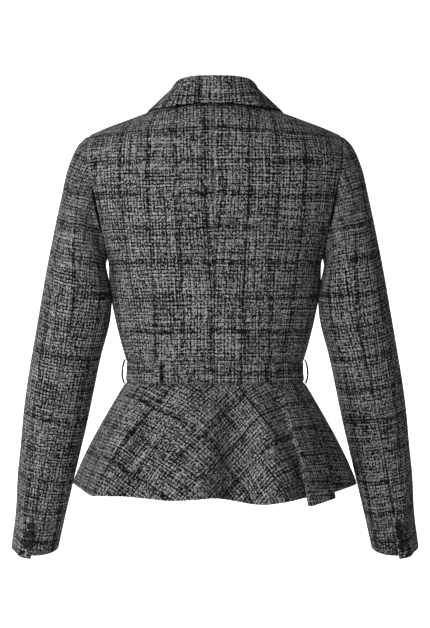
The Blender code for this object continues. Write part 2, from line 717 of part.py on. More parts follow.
# Belt loops
def belt_loop(name, theta, bow):
    """A narrow strip standing off the waistband between its two seams."""
    zs = np.linspace(WAIST_TOP + 3.0, WAIST_LOW - 2.2, 9)
    k = np.linspace(-1, 1, 9)
    stand = 0.5 + bow * (1 - np.abs(k) ** 2.4)
    p0 = body(np.array([theta]), np.array([-397.0]), 1)[0]
    e = 0.01
    side = unit(body(np.array([theta + e]), np.array([-397.0]), 1)[0] - p0)
    n = unit(np.cross(side, [0, 0, 1.0]))
    n = n * np.sign(n @ p0)
    g = np.zeros((9, 3, 3))
    for i in range(9):
        flat = body(np.array([theta]), np.array([zs[i]]), 1)[0]
        if zs[i] < WAIST_LOW:
            flat = flat + n * (WAIST_LOW - zs[i]) * 0.56
        for j, s in enumerate((-4.0, 0.0, 4.0)):
            g[i, j] = flat + side * s + n * stand[i]
            g[i, j, 2] = zs[i]
    away = np.broadcast_to(n, g.shape).copy()
    wall(name, g, away, 1.5, 0.0)


LOOP_BOW = 5.4       # how far a loop stands off the band at its middle
LOOP_AT = 82.0       # the back loops' distance from the centre seam
BACK_LOOP = float(theta_at(np.array(LOOP_AT), np.array(-397.0), 1, 0))
belt_loop('belt_loop_side_left', 0.035, LOOP_BOW)
belt_loop('belt_loop_back_left', BACK_LOOP, LOOP_BOW)
belt_loop('belt_loop_side_right', math.pi - 0.035, LOOP_BOW)
belt_loop('belt_loop_back_right', math.pi - BACK_LOOP, LOOP_BOW)


# Buttons
def button(name, centre, n, radius, thick):
    """A sew-on button: a rounded disc with a shallow dish."""
    n = unit(np.asarray(n, float))
    a = unit(np.cross(n, [0, 0, 1.0]))
    b = np.cross(n, a)
    prof = ((0.78, 0.0), (1.0, 0.28), (1.0, 0.72), (0.86, 1.0), (0.66, 0.8))
    m = 20
    pts = []
    for rr, hh in prof:
        for k in range(m):
            t = 2 * math.pi * k / m
            pts.append(centre + (a * math.cos(t) + b * math.sin(t)) * radius * rr
                       + n * thick * hh)
    faces = [tuple(range(m))]
    for r in range(len(prof) - 1):
        for k in range(m):
            j = (k + 1) % m
            faces.append((r * m + k, (r + 1) * m + k, (r + 1) * m + j, r * m + j))
    k = (len(prof) - 1) * m
    faces.append(tuple(k + i for i in reversed(range(m))))
    pts = np.array(pts)
    if np.dot(np.cross(a, b), n) > 0:
        faces = [f[::-1] for f in faces]
    solid(name, pts, faces, 0.02)


FRONT_BUTTONS = (-236.0, -296.0, -356.0, -396.5)
for i, z in enumerate(FRONT_BUTTONS):
    th = np.array([math.pi / 2])
    p = body(th, np.array([z]), -1)[0]
    q = body(th, np.array([z + 1.0]), -1)[0]
    n = unit(np.cross(q - p, [1.0, 0, 0]))
    n = n * np.sign(-n[1])
    button('front_button_%d' % (i + 1), p + n * (0.1 if i == 0 else 0.75), n, 10.0, 3.6)

for side in ('left', 'right'):
    for i, v in enumerate((0.917, 0.942, 0.967)):
        rowsf = through(SLEEVE_V, UP_LEFT, np.array([v]))[0]
        rown = through(SLEEVE_V, UP_N, np.array([v]))[0]
        k = len(rowsf) - 2
        p = rowsf[k] * 0.45 + rowsf[k + 1] * 0.55
        n = unit(rown[k] + rown[k + 1])
        chord = unit(rowsf[k + 1] - rowsf[k])
        n = unit(n - (n @ chord) * chord)
        p = p + n * 0.7
        if side == 'right':
            p, n = mirror(p), mirror(n)
        button('cuff_button_%s_%d' % (side, i + 1), p, n, 7.0, 3.0)
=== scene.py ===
"""Peplum jacket in black and off-white tweed, seen in the hollow form of its wearer.

Sizes are millimetres in the tables and metres in the meshes. The wearer faces -Y
and the wearer's left is +X. Each cut piece is one thin shell on its solid's form,
and its map "cut" is the flat cloth in millimetres over 100, so that the check and
the weave run along the grain of each piece.
"""
import math
import bpy
import numpy as np
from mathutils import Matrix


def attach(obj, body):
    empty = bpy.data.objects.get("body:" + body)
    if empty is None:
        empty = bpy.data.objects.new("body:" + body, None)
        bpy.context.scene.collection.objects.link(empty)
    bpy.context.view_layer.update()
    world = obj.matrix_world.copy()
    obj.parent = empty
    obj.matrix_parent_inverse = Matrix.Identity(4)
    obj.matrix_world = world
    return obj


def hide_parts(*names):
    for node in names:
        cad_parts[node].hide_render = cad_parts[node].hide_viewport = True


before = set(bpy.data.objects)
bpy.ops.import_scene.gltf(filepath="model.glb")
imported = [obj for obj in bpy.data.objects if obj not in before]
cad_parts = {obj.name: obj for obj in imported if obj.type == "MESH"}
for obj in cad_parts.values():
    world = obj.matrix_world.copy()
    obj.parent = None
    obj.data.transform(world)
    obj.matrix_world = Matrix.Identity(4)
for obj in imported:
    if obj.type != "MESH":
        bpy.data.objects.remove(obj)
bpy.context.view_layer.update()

# Bodice: two backs and two fronts of one tweed, sewn at the centre back, the sides
# and the shoulders over a curved form. The backs are shaped by the centre seam and
# by a dart that runs up from each back belt loop. The right front laps the left.
CLOTH = 2.0
SQUARE = 0.05
WAIST_TOP = -381.0
WAIST_LOW = -412.0
UNDERARM = -228.0
NECK_X = 78.0
NECK_U = 0.42
TIP = np.array([190.0, -4.0, -42.3])
LAP = 18.0
BREAK_Z = -215.0
ROLL = 0.41
UNDER_LAP = 2.8
GAP = 0.12              # between sewn edges, half on each side
BULGE = 0.8             # how far the middle of a free edge stands out
CHECK_WIDE = 84.0       # the windowpane repeats at this step across the cloth
CHECK_HIGH = 99.0       # and at this step along it
BODY = np.array([
    # z,    wide_b, wide_f, back,  front
    [-420, 134.6, 134.6, 90.0, 96.0],
    [-381, 133.2, 133.2, 90.0, 96.0],
    [-358, 139.5, 139.5, 91.5, 99.5],
    [-322, 148.5, 148.5, 95.5, 108.0],
    [-290, 155.0, 155.0, 99.5, 116.0],
    [-258, 158.8, 158.8, 103.5, 122.0],
    [-228, 161.5, 161.5, 106.0, 123.0],
    [-214, 168.0, 166.0, 106.8, 122.0],
    [-190, 178.5, 173.0, 107.6, 119.0],
    [-160, 190.0, 184.0, 108.0, 113.0],
    [-110, 206.0, 214.0, 106.5, 99.0],
])
ARM = np.array([
    # z_mid, z_edge, behind, before
    [-228, -228.0, 0.0, 0.0],
    [-210, -225.0, 17.0, 19.0],
    [-192, -215.0, 31.0, 36.0],
    [-172, -196.0, 43.0, 51.0],
    [-151, -170.0, 50.5, 60.0],
    [-130, -141.0, 55.0, 65.0],
    [-110, -110.0, 56.0, 67.0],
])


def through(keys, rows, t):
    """Cubic through the rows at their keys, with each slope from its neighbours."""
    keys, rows, t = np.asarray(keys, float), np.asarray(rows, float), np.asarray(t, float)
    step = np.diff(keys)
    wide = step.reshape((-1,) + (1,) * (rows.ndim - 1))
    slope = np.diff(rows, axis=0) / wide
    m = np.empty_like(rows)
    m[0], m[-1] = slope[0], slope[-1]
    m[1:-1] = (slope[:-1] * wide[1:] + slope[1:] * wide[:-1]) / (wide[1:] + wide[:-1])
    j = np.clip(np.searchsorted(keys, t, side="right") - 1, 0, len(keys) - 2)
    more = t.shape + (1,) * (rows.ndim - 1)
    d = step[j].reshape(more)
    x = ((t - keys[j]) / step[j]).reshape(more)
    return (rows[j] * (2 * x**3 - 3 * x**2 + 1) + m[j] * d * (x**3 - 2 * x**2 + x)
            + rows[j + 1] * (3 * x**2 - 2 * x**3) + m[j + 1] * d * (x**3 - x**2))


def ease(x):
    """3x^2 - 2x^3 between 0 and 1, flat outside."""
    x = np.clip(x, 0.0, 1.0)
    return x * x * (3 - 2 * x)


def unit(v):
    """Each vector over its length."""
    return v / np.maximum(np.linalg.norm(v, axis=-1, keepdims=True), 1e-9)


def body(theta, z, way):
    """x = wide cos t (1 + k sin^2 2t), y = deep sin t (1 + k sin^2 2t) at height z."""
    wide = through(BODY[:, 0], BODY[:, 1 if way > 0 else 2], z)
    deep = through(BODY[:, 0], BODY[:, 3 if way > 0 else 4], z)
    q = 1 + SQUARE * np.sin(2 * theta) ** 2
    return np.stack([wide * np.cos(theta) * q, way * deep * np.sin(theta) * q, z + 0 * theta], -1)


def theta_at(value, z, way, axis):
    """The angle where body() has the asked x (axis 0) or reach (axis 1), by halving."""
    low = np.zeros(np.shape(value)) + 0 * z
    high = low + (math.pi if axis == 0 else math.pi / 2)
    for _ in range(40):
        mid = (low + high) / 2
        got = body(mid, z, way)[..., axis]
        less = got > value if axis == 0 else got * way < value
        low, high = np.where(less, mid, low), np.where(less, high, mid)
    return (low + high) / 2


def below(u, v, way):
    """Bodice up to the chest: v 0 to 1 is waist to underarm, 1 to 2 runs up the armhole."""
    level = WAIST_TOP + GAP + (UNDERARM - WAIST_TOP - GAP) * np.minimum(v, 1.0)
    up = np.clip(v - 1.0, 0.0, 1.2)
    rows = np.linspace(0, 1, len(ARM))
    mid, edge = through(rows, ARM[:, 0], up), through(rows, ARM[:, 1], up)
    reach = np.maximum(through(rows, ARM[:, 2 if way > 0 else 3], up), 0.0)
    z = np.where(v > 1.0, mid + (edge - mid) * np.clip(u, 0, 1.2) ** 1.5, level)
    end = np.where(v > 1.0, theta_at(reach, np.where(v > 1.0, edge, level), way, 1), 0.0)
    z_in = np.where(v > 1.0, mid, level)
    start = math.pi / 2 + 0 * z if way > 0 else theta_at(
        -LAP + ROLL * np.maximum(z_in - BREAK_Z, 0.0), z_in, way, 0)
    return body(start + (end - start) * u, z, way)


def top_row(u, way):
    """Top edge: back neck (a quarter ellipse) then shoulder, and the way its cloth leaves."""
    tau = np.clip(u / NECK_U, -0.1, 1.0) * math.pi / 2
    along = (u - NECK_U) / (1 - NECK_U) if way > 0 else u
    x = NECK_X + (TIP[0] - NECK_X) * along
    top = np.stack([x, TIP[1] * along, -0.364 * (x - NECK_X) - 1.5 * ease((x - 160) / 30)], -1)
    steep = 0 * u
    if way > 0:
        neck = np.stack([NECK_X * np.sin(tau), 62 * np.cos(tau), 3 * np.cos(tau) ** 2], -1)
        top = np.where((u < NECK_U)[..., None], neck, top)
        steep = np.where(u < NECK_U, math.radians(46) * np.cos(tau) ** 1.5, 0.0)
    return top, np.stack([0 * u, way * np.cos(steep), -np.sin(steep)], -1), steep


def bodice(u, v, way):
    """below() up to v 2, then a cubic Bezier in v that rounds over to neck and shoulder."""
    u, v = np.broadcast_arrays(np.asarray(u, float), np.asarray(v, float))
    low = below(u, np.minimum(v, 2.0), way)
    base = below(u, np.full(u.shape, 2.0), way)
    slope = base - below(u, np.full(u.shape, 1.97), way)
    slope = slope / np.maximum(slope[..., 2:], 1e-6)
    top, leave, steep = top_row(u, way)
    p1 = base + slope * (top[..., 2:] - base[..., 2:]) * 0.5
    pull = np.abs(base[..., 1:2] - top[..., 1:2])
    p2 = top + leave * pull * (0.55 - 0.1 * np.sin(steep)[..., None])
    t = np.clip(v - 2.0, 0.0, 1.05)[..., None]
    cap = (1 - t) ** 3 * base + 3 * (1 - t) ** 2 * t * p1 + 3 * (1 - t) * t * t * p2 + t**3 * top
    return np.where((v > 2.0)[..., None], cap, low)


def outward(grid, ring=False):
    """Unit normals from the cross product of the grid's two differences, facing out."""
    du = np.roll(grid, -1, 1) - np.roll(grid, 1, 1) if ring else np.gradient(grid, axis=1)
    n = unit(np.cross(du, np.gradient(grid, axis=0)))
    mid = grid.reshape(-1, 3).mean(0) * [0.55, 0, 0]
    facing = (n[..., :2] * (grid - mid)[..., :2]).sum()
    return n * (1.0 if facing > 0 else -1.0)


def lengths(grid, axis):
    """Running length of the grid's lines along an axis, from 0."""
    run = np.linalg.norm(np.diff(grid, axis=axis), axis=-1)
    shape = list(grid.shape[:2])
    shape[axis] = 1
    return np.concatenate([np.zeros(shape), np.cumsum(run, axis=axis)], axis=axis)


def mirror(a):
    """The same piece for the other side of the body: x turned round."""
    return a * np.array([-1.0, 1.0, 1.0])


def elsewhere(cut):
    """A right-hand piece's place on the cloth: turned over and five panes further on."""
    return cut * [-1.0, 1.0] - [5 * CHECK_WIDE, 5 * CHECK_HIGH]


def pressed(grid, away, sides, deep=0.9, wide=3.0):
    """Sink a Gaussian groove, deep exp(-(d/wide)^2), along the named sewn edges."""
    across, along = lengths(grid, 1), lengths(grid, 0)
    far = {"first_col": across, "last_col": across[:, -1:] - across,
           "first_row": along, "last_row": along[-1:] - along}
    sink = sum(deep * np.exp(-(far[s] / wide) ** 2) for s in sides)
    return grid - away * np.minimum(sink, deep * 1.2)[..., None]


def creased(grid, away, lines):
    """Soft troughs (deep > 0) or ridges along short lines: deep exp(-(d/wide)^2)."""
    out = grid.copy()
    for x0, z0, x1, z1, deep, wide in lines:
        a, d = np.array([x0, z0]), np.array([x1 - x0, z1 - z0])
        q = grid[..., [0, 2]] - a
        t = np.clip((q @ d) / (d @ d), 0, 1)
        off = np.linalg.norm(q - t[..., None] * d, axis=-1)
        fade = 0.35 + 0.65 * np.sin(math.pi * np.clip(t, 0.02, 0.98))
        out -= away * (deep * fade * np.exp(-(off / wide) ** 2))[..., None]
    return out


def in_scene(name, data):
    """An object at the origin that holds the data, linked to the scene."""
    thing = bpy.data.objects.new(name, data)
    bpy.context.scene.collection.objects.link(thing)
    return thing


def shell(name, grid, away, cut, free=(), outer=0.0, inner=CLOTH):
    """A closed wall: the grid moved out, its copy moved in, rims that bulge where free."""
    rows, cols = grid.shape[:2]
    loop = np.concatenate([np.arange(cols), np.arange(1, rows) * cols + cols - 1,
                           (rows - 1) * cols + np.arange(cols - 2, -1, -1),
                           np.arange(rows - 2, 0, -1) * cols])
    out, inn = (grid + away * outer).reshape(-1, 3), (grid - away * inner).reshape(-1, 3)
    leave = np.zeros_like(grid)
    sides = {"first_row": (np.s_[0], np.s_[1]), "last_row": (np.s_[-1], np.s_[-2]),
             "first_col": (np.s_[:, 0], np.s_[:, 1]), "last_col": (np.s_[:, -1], np.s_[:, -2])}
    for edge, beside in (sides[side] for side in sides if side in free):
        leave[edge] += unit(grid[edge] - grid[beside]) * BULGE
    rim = (out[loop] + inn[loop]) / 2 + leave.reshape(-1, 3)[loop]
    n = rows * cols
    i = (np.arange(rows - 1)[:, None] * cols + np.arange(cols - 1)).ravel()
    quads = np.stack([i, i + 1, i + cols + 1, i + cols], -1)
    m = len(loop)
    j, k = np.arange(m), (np.arange(m) + 1) % m
    faces = np.vstack([quads, quads[:, ::-1] + n,
                       np.stack([loop[k], loop[j], 2 * n + j, 2 * n + k], -1),
                       np.stack([2 * n + k, 2 * n + j, n + loop[j], n + loop[k]], -1)])
    du, dv = grid[:-1, 1:] - grid[:-1, :-1], grid[1:, :-1] - grid[:-1, :-1]
    if float((np.cross(du, dv) * away[:-1, :-1]).sum()) < 0:
        faces = faces[:, ::-1]
    points = np.vstack([out, inn, rim]) * 0.001
    flat = np.vstack([cut.reshape(-1, 2)] * 2 + [cut.reshape(-1, 2)[loop]]) * 0.01
    mesh = bpy.data.meshes.new(name)
    mesh.from_pydata(points.tolist(), [], faces.tolist())
    mesh.uv_layers.new(name="cut")
    mesh.uv_layers["cut"].data.foreach_set("uv", flat[faces.ravel()].astype(np.float32).ravel())
    mesh.shade_smooth()
    mesh.update()
    return in_scene(name, mesh)


def linear(hexa):
    """An sRGB hex colour as linear red, green, blue and alpha."""
    c = np.array([int(hexa[i:i + 2], 16) / 255 for i in (1, 3, 5)])
    return (*np.where(c <= 0.04045, c / 12.92, ((c + 0.055) / 1.055) ** 2.4), 1.0)


def add(tree, kind, links=None, settings=None, **values):
    """Add one node, set its properties and sockets, and link what feeds it."""
    node = tree.nodes.new(kind)
    for key, value in (settings or {}).items():
        setattr(node, key, value)
    for key, value in values.items():
        node.inputs[int(key[1:])].default_value = value
    for key, source in (links or {}).items():
        tree.links.new(source, node.inputs[key])
    return node


def new_material(name):
    """A material with its node tree and its shader."""
    mat = bpy.data.materials.new(name)
    mat.use_nodes = True
    return mat, mat.node_tree, mat.node_tree.nodes["Principled BSDF"]


def fill_ramp(node, stops):
    """Set a colour ramp's stops from (place, hex) pairs."""
    ramp = node.color_ramp
    while len(ramp.elements) > 1:
        ramp.elements.remove(ramp.elements[-1])
    for n, (place, hexa) in enumerate(stops):
        stop = ramp.elements[0] if n == 0 else ramp.elements.new(place)
        stop.position, stop.color = place, linear(hexa)


# Slubbed wool tweed: black and off-white yarns cross plainly, in a salt and pepper with
# short and long dashes both ways. Each third yarn or so is black, now and then one is
# light, and a broken pane of blacker yarns crosses the cloth each 84 by 99 mm.
YARN = 1.5              # a yarn's width, drawn about twice as coarse as real to show
BLACK_STEP = 5.0        # from one black yarn to the next


def tweed(name):
    """Woven tweed on the flat cloth's own map."""
    mat, tree, shader = new_material(name)
    cut = add(tree, "ShaderNodeUVMap", settings={"uv_map": "cut"})
    mm = add(tree, "ShaderNodeVectorMath", {0: cut.outputs[0]}, {"operation": "SCALE"}, _3=100.0)
    # the yarns wander a little from the straight
    wander = add(tree, "ShaderNodeTexNoise", {"Vector": mm.outputs[0]}, {"noise_dimensions": "2D"},
                 _2=0.012, _3=1.0)
    sway = add(tree, "ShaderNodeVectorMath", {0: wander.outputs["Color"]},
               {"operation": "MULTIPLY_ADD"}, _1=(5.0, 5.0, 0.0), _2=(-2.5, -2.5, 0.0))
    place = add(tree, "ShaderNodeVectorMath", {0: mm.outputs[0], 1: sway.outputs[0]},
                {"operation": "ADD"})

    def yarns(across, along, offset):
        """Noise stretched to dashes of across by along millimetres."""
        stretch = add(tree, "ShaderNodeVectorMath", {0: place.outputs[0]},
                      {"operation": "MULTIPLY_ADD"}, _1=(1 / across, 1 / along, 0.0),
                      _2=(offset, offset * 0.7, 0.0))
        return add(tree, "ShaderNodeTexNoise", {"Vector": stretch.outputs[0]},
                   {"noise_dimensions": "2D"}, _2=1.0, _3=0.0).outputs["Fac"]

    def maths(kind, a, b=0.0, c=0.0):
        """One arithmetic node; numbers are set on it and outputs linked to it."""
        feeds = {n: v for n, v in enumerate((a, b, c)) if not isinstance(v, (int, float))}
        fixed = {"_%d" % n: float(v) for n, v in enumerate((a, b, c)) if isinstance(v, (int, float))}
        return add(tree, "ShaderNodeMath", feeds, {"operation": kind}, **fixed).outputs[0]

    parts = (
        # across, along, offset, weight
        (YARN, 4.5, 12.3, 0.34),                 # short dashes along the warp
        (4.5, YARN, 17.7, 0.34),                 # and along the weft
        (YARN, 110.0, 41.3, 0.42),               # yarns that stay dark or light for longer
        (110.0, YARN, 67.9, 0.42),
        (24.0, 24.0, 5.5, 0.04),                 # clouds in the ground
    )
    # each crossing shows one yarn or the other: salt and pepper in cells of one yarn
    cell = add(tree, "ShaderNodeVectorMath", {0: place.outputs[0]}, {"operation": "SCALE"}, _3=1 / YARN)
    cell = add(tree, "ShaderNodeVectorMath", {0: cell.outputs[0]}, {"operation": "FLOOR"})
    salt = add(tree, "ShaderNodeTexWhiteNoise", {"Vector": cell.outputs[0]}, {"noise_dimensions": "2D"})
    tone = maths("MULTIPLY_ADD", salt.outputs["Value"], 0.58, 0.34)
    for across, along, offset, weight in parts:
        tone = maths("MULTIPLY_ADD", maths("SUBTRACT", yarns(across, along, offset), 0.5), weight, tone)

    split = add(tree, "ShaderNodeSeparateXYZ", {0: place.outputs[0]})
    up, over = split.outputs[0], split.outputs[1]

    def line(value, repeat, half_wide):
        """1 at each repeat of a value, falling to 0 at half_wide from it."""
        beat = maths("PINGPONG", maths("ADD", value, repeat * 40.0), repeat / 2)
        return maths("MAXIMUM", maths("MULTIPLY_ADD", beat, -1 / half_wide, 1.0), 0.0)

    # black yarns, broken along their length
    for value, broken in ((up, yarns(2.2, 30.0, 23.0)), (over, yarns(30.0, 2.2, 31.0))):
        black = maths("MULTIPLY", line(value, BLACK_STEP, 1.3), maths("MULTIPLY_ADD", broken, 2.2, -0.3))
        tone = maths("MULTIPLY_ADD", maths("MAXIMUM", black, 0.0), -0.34, tone)
    # light yarns, one now and then
    for value, broken in ((up, yarns(3.0, 50.0, 53.0)), (over, yarns(50.0, 3.0, 71.0))):
        light = maths("MULTIPLY", line(value, 13.0, 0.9), maths("MULTIPLY_ADD", broken, 6.0, -3.0))
        tone = maths("MULTIPLY_ADD", maths("MAXIMUM", light, 0.0), 0.22, tone)
    # the pane: a band of blacker yarns, thinned here and there, with a fainter one between
    crossings = (
        # value, repeat, half width, strength, break across, break along
        (up, CHECK_WIDE, 5.5, 0.22, 3.0, 10.0),
        (over, CHECK_HIGH, 6.0, 0.20, 12.0, 3.0),
        (maths("ADD", up, CHECK_WIDE / 2), CHECK_WIDE, 5.5, 0.15, 3.0, 12.0),
        (maths("ADD", over, CHECK_HIGH / 2), CHECK_HIGH, 6.0, 0.12, 14.0, 3.0),
    )
    for n, (value, repeat, half_wide, strength, across, along) in enumerate(crossings):
        worn = maths("MULTIPLY_ADD", yarns(across, along, 80.0 + 7.0 * n), 2.4, -0.3)
        band = maths("MULTIPLY", line(value, repeat, half_wide), maths("MAXIMUM", worn, 0.0))
        tone = maths("MULTIPLY_ADD", band, -strength, tone)

    colour = add(tree, "ShaderNodeValToRGB", {0: tone})
    fill_ramp(colour, [(0.20, "#070707"), (0.36, "#191919"), (0.50, "#505050"),
                       (0.64, "#8f8e8e"), (0.82, "#d2d1d0")])
    tree.links.new(colour.outputs[0], shader.inputs["Base Color"])
    shader.inputs["Roughness"].default_value = 0.95
    shader.inputs["Specular IOR Level"].default_value = 0.2
    shader.inputs["Sheen Weight"].default_value = 0.06
    shader.inputs["Sheen Roughness"].default_value = 0.6
    bump = add(tree, "ShaderNodeBump", {"Height": tone}, _0=0.35, _1=0.001)
    tree.links.new(bump.outputs[0], shader.inputs["Normal"])
    return mat


TWEED = tweed("slubbed_wool_tweed")


def dress(piece, node):
    """Give a piece its finish and its ride, and hide the part of the node it stands for."""
    piece.data.materials.append(TWEED)
    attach(piece, "root")
    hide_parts(node)


V_ALL = np.concatenate([np.linspace(0, 1, 50), np.linspace(1, 2, 37)[1:], np.linspace(2, 3, 37)[1:]])
ARM_ROW = 49            # the row at the underarm
CHEST_ROW = 85          # the row where the cap up to the shoulder starts
NECK_COLS = 25          # columns of the back along its neck
CHECK_RISE = 137.0      # a pane line crosses the cloth this far below the neck
ub, vb = np.meshgrid(np.concatenate([np.linspace(0, NECK_U, 26), np.linspace(NECK_U, 1, 36)[1:]]), V_ALL)
uf, vf = np.meshgrid(np.linspace(0, 1, 60), V_ALL)
BACK, FRONT = bodice(ub, vb, 1), bodice(uf, vf, -1)
BACK_N, FRONT_N = outward(BACK), outward(FRONT)
BACK_N[:ARM_ROW + 1, -1] = FRONT_N[:ARM_ROW + 1, -1] = [1.0, 0.0, 0.0]
BACK_N[-1, NECK_COLS:] = FRONT_N[-1] = unit(np.array([0.342, 0.0, 0.94]))

DART_X, DART_TOP = 89.0, -215.0       # the back dart's place at the waist and its point
DART_TAKES = 17.0                     # cloth taken up by the dart at the waist
CENTRE_TAKES = 10.0                   # cloth taken up on each side by the centre seam
BACK_FOLDS = [
    # x,    z,     to_x,  to_z,  deep, wide
    [168.0, -196.0, 118.0, -232.0, 1.3, 10.0],
    [160.0, -232.0, 128.0, -268.0, 1.0, 9.0],
    [126.0, -322.0, 96.0, -366.0, 0.9, 8.0],
    [60.0, -344.0, 52.0, -378.0, 0.6, 6.0],
    [24.0, -338.0, 20.0, -378.0, 0.5, 6.0],
    [120.0, -60.0, 96.0, -100.0, -1.0, 16.0],
]
FRONT_FOLDS = [
    [156.0, -180.0, 108.0, -226.0, 1.6, 11.0],
    [150.0, -262.0, 104.0, -250.0, 1.2, 10.0],
    [118.0, -330.0, 84.0, -372.0, 0.9, 8.0],
    [48.0, -348.0, 44.0, -378.0, 0.6, 6.0],
]


def flat_height(grid):
    """Height up to the chest row, and from there on the length along the cloth."""
    up = lengths(grid, 0)
    high = grid[CHEST_ROW, :, 2] + (up - up[CHEST_ROW])
    past = np.arange(len(grid))[:, None] > CHEST_ROW
    return np.where(past, high, grid[..., 2]) + CHECK_RISE


def back_across(grid):
    """Flat length across from the centre seam, with what the seam and the dart take."""
    z = grid[..., 2]
    across = lengths(grid, 1) + CENTRE_TAKES * ease((-100 - z) / 220)
    past = ease((lengths(grid, 1) - DART_X - 6) / 3 + 0.5)
    return across + DART_TAKES * past * np.clip((DART_TOP - z) / (DART_TOP - WAIST_TOP), 0, 1)


def half_back(side, line_at):
    """One back: the grid with its seams pressed, its dart, its pulls and its flat map."""
    g = pressed(BACK, BACK_N, ("first_col", "first_row", "last_row"))
    g = pressed(g, BACK_N, ("last_col",), 1.8, 2.6)
    g = creased(g, BACK_N, BACK_FOLDS)
    d = np.abs(lengths(BACK, 1) - DART_X - 6)
    tall = np.clip((DART_TOP - BACK[..., 2]) / 40, 0, 1)
    g = g - BACK_N * (0.8 * tall * np.exp(-(d / 1.6) ** 2))[..., None]
    g[:, 0, 0] += GAP / 2
    cut = np.stack([back_across(BACK) - line_at, flat_height(BACK)], -1)
    n = BACK_N
    if side == "right":
        g, n, cut = mirror(g), mirror(n), elsewhere(cut)
    dress(shell("tweed_back_" + side, g, n, cut), "back_" + side)


half_back("left", 15.0)
half_back("right", 49.5)


def under(grid, away):
    """The left front sinks beneath the right one where they lap."""
    x, z = grid[..., 0], grid[..., 2]
    return grid - away * (UNDER_LAP * ease((36 - x) / 14) * ease((-126 - z) / 26))[..., None]


def half_front(side):
    """One front, with its free edge at the centre and its pulls at bust and armhole."""
    g = pressed(FRONT, FRONT_N, ("first_row", "last_row"))
    g = pressed(g, FRONT_N, ("last_col",), 1.8, 2.6)
    g = creased(g, FRONT_N, FRONT_FOLDS)
    across = lengths(FRONT, 1) + FRONT[:, :1, 0]
    cut = np.stack([across - CHECK_WIDE / 2, flat_height(FRONT)], -1)
    if side == "left":
        g, n = under(g, FRONT_N), FRONT_N
    else:
        g, n, cut = mirror(g), mirror(FRONT_N), elsewhere(cut)
    dress(shell("tweed_front_" + side, g, n, cut, free=("first_col",)), "front_" + side)


half_front("right")
half_front("left")

# Waistband: a straight strip 31 mm deep in four lengths, set between two level seams,
# with the pane's black line along its upper third. It buttons at the centre front.
CF = float(theta_at(np.array(-LAP), np.array(-400.0), -1, 0))


def band(name, way, side):
    """One length of the band, on body() between the two waist seams."""
    theta = np.linspace(math.pi / 2 if way > 0 else CF, 0, 60)
    th, z = np.meshgrid(theta, np.linspace(WAIST_LOW + 0.7, WAIST_TOP, 16))
    g = body(th, z, way)
    away = unit(np.cross(body(th + 0.002, z, way) - g, [0, 0, 1.0])) * way
    away[:, -1] = [1, 0, 0]
    cut = np.stack([lengths(g, 1) + 6.0, z + 393.0], -1)
    sewn = ("first_col", "last_col", "first_row", "last_row")
    g = pressed(g, away, sewn if way > 0 else sewn[1:], 1.8, 2.0)
    g[:, -1, 1] += way * GAP / 2
    g[:, 0, 0] += GAP / 2 if way > 0 else 0.0
    if way < 0 and side == "left":
        g = under(g, away)
    if side == "right":
        g, away, cut = mirror(g), mirror(away), elsewhere(cut)
    dress(shell("tweed_" + name, g, away, cut, free=() if way > 0 else ("first_col",)),
          name)


for side in ("left", "right"):
    band("waistband_back_" + side, 1, side)
    band("waistband_front_" + side, -1, side)

# Peplum: a back and two fronts, each a sector of a ring of cloth, so that a hem nearly
# twice the waist falls in soft flutes. The check runs slantwise over it. The hem is
# turned up 25 mm, which shows as a faint line, and its edge is soft and rounded.
HEM_TURN = 25.0
HEM_BACK = np.array([
    # x,    y,      z
    [214.0, 0.0, -563.0],       # left side seam
    [197.5, 54.0, -566.0],
    [179.5, 107.0, -570.0],     # corner fold at the left
    [166.0, 125.0, -568.5],
    [148.0, 133.0, -568.5],
    [128.0, 127.0, -569.5],     # shallow hollow
    [104.0, 134.0, -571.0],
    [68.0, 153.0, -572.5],      # broad crest
    [32.0, 159.0, -571.0],
    [8.0, 153.0, -569.5],
    [-8.0, 137.0, -571.5],      # its steep right flank, under the centre back
    [-22.0, 120.0, -575.5],
    [-35.0, 115.0, -578.5],     # main hollow
    [-48.0, 124.0, -580.0],
    [-70.0, 148.0, -579.0],
    [-94.0, 158.0, -575.0],     # second crest
    [-112.0, 147.0, -573.0],
    [-125.0, 127.0, -572.0],
    [-135.0, 114.0, -572.5],    # third hollow, which runs on behind the flute
    [-142.0, 117.0, -574.5],    # its end, hidden by the flute
    [-138.0, 134.0, -578.0],
    [-131.0, 147.0, -580.5],    # near edge of the standing flute
    [-138.0, 147.0, -580.5],
    [-151.0, 133.0, -578.5],
    [-164.0, 117.0, -576.0],
    [-174.0, 104.0, -573.5],    # far edge of the flute
    [-168.0, 92.0, -569.0],     # neck behind the flute
    [-182.0, 74.0, -566.5],
    [-202.0, 42.0, -563.5],
    [-213.5, 0.0, -564.0],      # right side seam
])
HEM_RIGHT = np.array([
    [-213.5, 0.0, -564.0],
    [-207.0, -52.0, -563.5],
    [-180.0, -100.0, -566.0],   # crest
    [-138.0, -122.0, -567.0],   # hollow
    [-96.0, -158.0, -570.0],    # crest
    [-58.0, -160.0, -569.0],
    [-32.0, -168.0, -570.0],
    [-9.0, -169.0, -570.0],     # front edge
])
HEM_LEFT = np.array([
    [214.0, 0.0, -563.0],
    [208.0, -46.0, -563.0],
    [186.0, -98.0, -566.0],     # crest
    [146.0, -118.0, -567.0],    # hollow
    [104.0, -152.0, -570.0],    # crest
    [58.0, -160.0, -569.0],
    [32.0, -168.0, -570.0],
    [9.0, -169.0, -570.0],      # front edge
])
RING_IN = 180.0         # the sector's inner radius in the flat cloth
PEPLUM_BOW = 4.8        # how far the cloth swells out between waist and hem


def even(curve, count):
    """The curve read at even steps of its length."""
    run = np.concatenate([[0], np.cumsum(np.linalg.norm(np.diff(curve, axis=0), axis=1))])
    at = np.linspace(0, run[-1], count)
    return np.stack([np.interp(at, run, curve[:, k]) for k in range(3)], -1)


